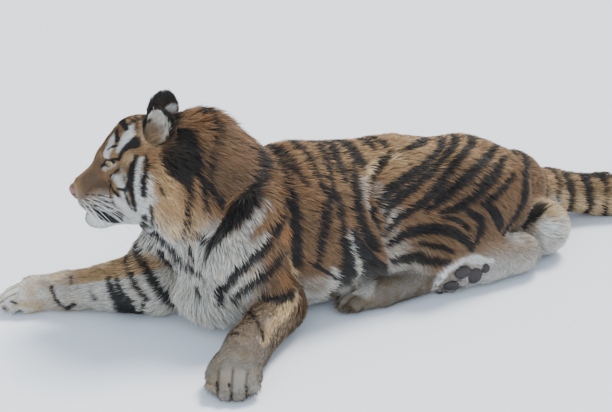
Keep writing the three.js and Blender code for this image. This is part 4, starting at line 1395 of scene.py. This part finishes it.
class TIGER_OT_pads(bpy.types.Operator):
    """Build the dark leathery pads of the hind foot that shows its sole"""
    bl_idname = "tiger.pads"
    bl_label = "Foot pads"

    def execute(self, context):
        def field(p):
            return soft_min([ball(p, c, r, t) for c, r, t in pad_places()], 2.5) + 0.5 * noise(p, 5, 71)
        places = np.array([c for c, _, _ in pad_places()])
        verts, quads = net(field, places.min(0) - 45, places.max(0) + 45, 2.5)
        obj = mesh_object("foot_pads", verts, quads)
        mat = principled("pad_leather", (0.030, 0.024, 0.024), 0.55, bump=(500.0, 0.6, 0.0008),
                         Specular_IOR_Level=0.4)
        obj.data.materials.append(mat)
        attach(obj, "root")
        return {"FINISHED"}


# ------------------------------------------------------------------ face pieces
def eyeball(name, side):
    """A ball with a corneal bulge, iris and pupil rings facing the gaze."""
    rings = [(0.0, 0), (0.10, 0), (0.21, 0), (0.24, 1), (0.40, 1), (0.55, 1), (0.62, 2), (0.70, 3), (1.0, 3),
             (1.5, 3), (2.1, 3), (2.7, 3), (math.pi, 3)]
    around = 36
    gaze = sided(GAZE, side)
    across = unit(np.cross(vec(0, 0, 1), gaze))
    up = np.cross(gaze, across)
    r = EYE_R
    verts, faces, tints = [], [], []
    s = settings()
    iris = np.array(s.iris_colour)
    shades = {0: vec(0.004, 0.004, 0.004), 1: iris, 2: iris * 0.28, 3: vec(0.52, 0.40, 0.30)}
    for angle, kind in rings[1:-1]:
        bulge = 1 + 0.085 * math.exp(-(angle / 0.62) ** 4)
        for k in range(around):
            a = 2 * math.pi * k / around
            d = gaze * math.cos(angle) + (across * math.cos(a) + up * math.sin(a)) * math.sin(angle)
            verts.append(sided(EYE, side) + d * r * bulge)
            fleck = 1 + 0.25 * math.sin(11 * a + 3 * side) * (kind == 1)
            tints.append(shades[kind] * fleck)
    front, back = len(verts), len(verts) + 1
    verts += [sided(EYE, side) + gaze * r * 1.085, sided(EYE, side) - gaze * r]
    tints += [shades[0], shades[3]]
    n = len(rings) - 2
    for j in range(n - 1):
        for k in range(around):
            m = (k + 1) % around
            faces.append((j * around + k, j * around + m, (j + 1) * around + m, (j + 1) * around + k))
    tri = [(front, (k + 1) % around, k) for k in range(around)]
    tri += [(back, (n - 1) * around + k, (n - 1) * around + (k + 1) % around) for k in range(around)]
    mesh = bpy.data.meshes.new(name)
    mesh.from_pydata([tuple(from_head(v) * MM) for v in verts], [], faces + tri)
    bm = bmesh.new()
    bm.from_mesh(mesh)
    bmesh.ops.recalc_face_normals(bm, faces=bm.faces)
    bm.to_mesh(mesh)
    bm.free()
    mesh.polygons.foreach_set("use_smooth", np.ones(len(mesh.polygons), bool))
    colour_points(mesh, "eye_colour", np.clip(np.array(tints), 0, 1))
    return linked(name, mesh)


def nose_field(p):
    q = to_head(p)
    f = soft_min([ball(q, (347, 0, 26), (19, 25, 18)), ball(q, (344, 0, 8), (15, 14, 15))], 5)
    for s in (1, -1):
        f = soft_max(f, -ball(q, (360, s * 11, 21), (10, 6.0, 6.5)), 1.5)
        f = soft_max(f, -cone(q, (358, s * 15, 18), (344, s * 25, 11), 3.6, 2.6), 1.2)
    f = soft_max(f, -cone(q, (368, 0, 26), (358, 0, -8), 1.3, 1.3), 1.5)
    return f * HEAD_SCALE


class TIGER_OT_face(bpy.types.Operator):
    """Build the eyes and the nose leather"""
    bl_idname = "tiger.face"
    bl_label = "Eyes and nose"

    def execute(self, context):
        mat = principled("eye", (0.4, 0.25, 0.05), 0.08, "eye_colour", (900.0, 0.75, 1.2),
                         Coat_Weight=0.35, Coat_Roughness=0.02, Specular_IOR_Level=0.3)
        for name, side in (("eye_left", 1), ("eye_right", -1)):
            obj = eyeball(name + "ball", side)
            obj.data.materials.append(mat)
            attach(obj, "root")
            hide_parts(name)
        centre = from_head(vec(350, 0, 16))
        verts, quads = net(nose_field, centre - 48, centre + 48, 1.7)
        verts = settle(nose_field, verts, 1, 1.0)
        obj = mesh_object("nose", verts, quads)
        q = to_head(verts)
        leather = np.array(settings().nose_colour)
        colours = np.tile(leather, (len(verts), 1))
        # painted shade: the nostrils and the grooves running from them drawn almost black
        deep = np.zeros(len(verts))
        for s in (1, -1):
            deep = np.maximum(deep, 1 - ramp(ball(q, (358, s * 11, 21), (12, 7, 7)), -1.0, 2.0))
            deep = np.maximum(deep, 1 - ramp(cone(q, (358, s * 15, 18), (344, s * 25, 11), 4, 3), -0.5, 1.5))
        rim = ramp(q[:, 2], 33, 42)
        colours = mix(colours, tone("brown", 0.8), rim)
        colours = mix(colours, vec(0.01, 0.008, 0.008), deep)
        colour_points(obj.data, "nose_tone",
                      np.clip(colours * (1 + 0.2 * noise(verts, 7, 81))[:, None], 0, 1))
        mat = principled("nose_leather", tuple(leather), 0.42, "nose_tone", (700.0, 0.85, 1.15),
                         (900.0, 0.5, 0.0006), Specular_IOR_Level=0.45)
        obj.data.materials.append(mat)
        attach(obj, "root")
        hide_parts("nose_leather")
        return {"FINISHED"}


class TIGER_OT_whiskers(bpy.types.Operator):
    """Build the whiskers of the lip and the brow"""
    bl_idname = "tiger.whiskers"
    bl_label = "Whiskers"

    def execute(self, context):
        rng = np.random.default_rng(RNG_SEED + 5)
        verts, faces = [], []

        def whisker(root, way, length, sag, thick):
            way = unit(way)
            side = unit(np.cross(way, vec(0, 0, 1)))
            top = np.cross(side, way)
            steps, start = 9, len(verts)
            for k in range(steps):
                t = k / (steps - 1)
                at = root + way * length * t + vec(-0.25, 0, -1) * sag * length * t * t
                r = thick * (1 - 0.85 * t)
                for m in range(4):
                    a = math.pi / 2 * m
                    verts.append(at + (side * math.cos(a) + top * math.sin(a)) * r)
            for k in range(steps - 1):
                for m in range(4):
                    a, b = start + 4 * k + m, start + 4 * k + (m + 1) % 4
                    faces.append((a, b, b + 4, a + 4))

        def on_face(x, y, z):
            return settle(lambda v: skin_field(from_head(v)) / HEAD_SCALE, vec(x, y, z)[None], 3, 20.0)[0]

        for s in (1, -1):
            for row in range(4):
                for col in range(6):
                    x, z = 322 - 15 * col - 2 * row, 6 - 10.5 * row - 0.6 * col
                    y = s * (54 + 3.0 * min(col, 3))
                    p = on_face(x, y, z)
                    way = vec(-0.42 - 0.12 * col, s * (0.80 - 0.05 * col),
                              -0.16 - 0.13 * row) + rng.normal(0, 0.08, 3)
                    whisker(p, way, 88 + 14 * col + rng.uniform(-12, 20), 0.22 + 0.05 * row, 0.85)
            for k in range(4):
                p = on_face(228 - 6 * k, s * 46, 98)
                whisker(p, vec(-0.2, s * 0.5, 0.8) + rng.normal(0, 0.1, 3), 48 + 8 * k, -0.12, 0.5)
        obj = mesh_object("whiskers", from_head(np.array(verts)), np.array(faces))
        mat = principled("whisker", (0.86, 0.84, 0.80), 0.35, bump=(1500.0, 0.1, 0.0002),
                         Specular_IOR_Level=0.5)
        obj.data.materials.append(mat)
        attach(obj, "root")
        return {"FINISHED"}


class TIGER_OT_stage(bpy.types.Operator):
    """Set the camera, the plain pale floor and the soft studio light"""
    bl_idname = "tiger.stage"
    bl_label = "Stage"

    def execute(self, context):
        scene = context.scene
        eye, right, up, back = view_axes()
        cam = bpy.data.cameras.new("camera")
        cam.lens, cam.sensor_width = VIEW_LENS, SENSOR
        cam.shift_x, cam.shift_y = VIEW_SHIFT
        cam.clip_end = 100
        camera = linked("camera", cam)
        camera.matrix_world = Matrix(((right[0], up[0], back[0], eye[0] * MM),
                                      (right[1], up[1], back[1], eye[1] * MM),
                                      (right[2], up[2], back[2], eye[2] * MM), (0, 0, 0, 1)))
        scene.camera = camera
        floor = bpy.data.meshes.new("floor")
        around, radii = 64, FLOOR_FLAT + (FLOOR_REACH - FLOOR_FLAT) * np.linspace(0, 1, 9)
        turn = np.arange(around) * 2 * math.pi / around
        rings = [(r * math.cos(a), r * math.sin(a),
                  FLOOR_RISE * ((r - FLOOR_FLAT) / (FLOOR_REACH - FLOOR_FLAT)) ** 2)
                 for r in radii for a in turn]
        cells = [(j * around + k, j * around + (k + 1) % around, (j + 1) * around + (k + 1) % around,
                  (j + 1) * around + k)
                 for j in range(len(radii) - 1) for k in range(around)]
        floor.from_pydata(rings, [], [tuple(reversed(c)) for c in cells] + [tuple(range(around))])
        floor.polygons.foreach_set("use_smooth", np.ones(len(floor.polygons), bool))
        obj = linked("floor", floor)
        mat = principled("floor", tuple(settings().floor_colour), 0.85, bump=(3.0, 0.04, 0.01),
                         Specular_IOR_Level=0.2)
        obj.data.materials.append(mat)

        sun = bpy.data.lights.new("key", "SUN")
        sun.energy, sun.angle, sun.color = KEY_POWER, math.radians(KEY_ANGLE), KEY_COLOUR
        key = linked("key", sun)
        key.rotation_euler = Vector(KEY_FROM).to_track_quat("Z", "Y").to_euler()
        data = bpy.data.lights.new("fill", "AREA")
        data.shape, data.size, data.energy, data.color = "DISK", FILL_SIZE, FILL_POWER, FILL_COLOUR
        fill = linked("fill", data)
        fill.location = FILL_AT
        fill.rotation_euler = (Vector(FILL_TARGET) - Vector(FILL_AT)).to_track_quat("-Z", "Y").to_euler()
        world = bpy.data.worlds.new("studio")
        world.use_nodes = True
        sky = world.node_tree.nodes["Background"]
        sky.inputs["Color"].default_value = (*SKY_COLOUR, 1)
        sky.inputs["Strength"].default_value = SKY_STRENGTH
        scene.world = world
        return {"FINISHED"}


class TIGER_PT_panel(bpy.types.Panel):
    bl_idname = "TIGER_PT_panel"
    bl_label = "Resting Tiger"
    bl_space_type = "VIEW_3D"
    bl_region_type = "UI"
    bl_category = "Tiger"

    def draw(self, context):
        for key in TigerSettings.__annotations__:
            self.layout.prop(settings(), key)
        for step in STEPS:
            self.layout.operator(step.bl_idname)


STEPS = (TIGER_OT_stage, TIGER_OT_skin, TIGER_OT_coat, TIGER_OT_face, TIGER_OT_whiskers, TIGER_OT_pads)
CLASSES = (TigerSettings, *STEPS, TIGER_PT_panel)


def register():
    for cls in CLASSES:
        bpy.utils.register_class(cls)
    bpy.types.Scene.tiger_settings = PointerProperty(type=TigerSettings)


def unregister():
    del bpy.types.Scene.tiger_settings
    for cls in reversed(CLASSES):
        bpy.utils.unregister_class(cls)


def main():
    register()
    for step in STEPS:
        group, name = step.bl_idname.split(".")
        getattr(getattr(bpy.ops, group), name)()


if __name__ == "__main__":
    main()
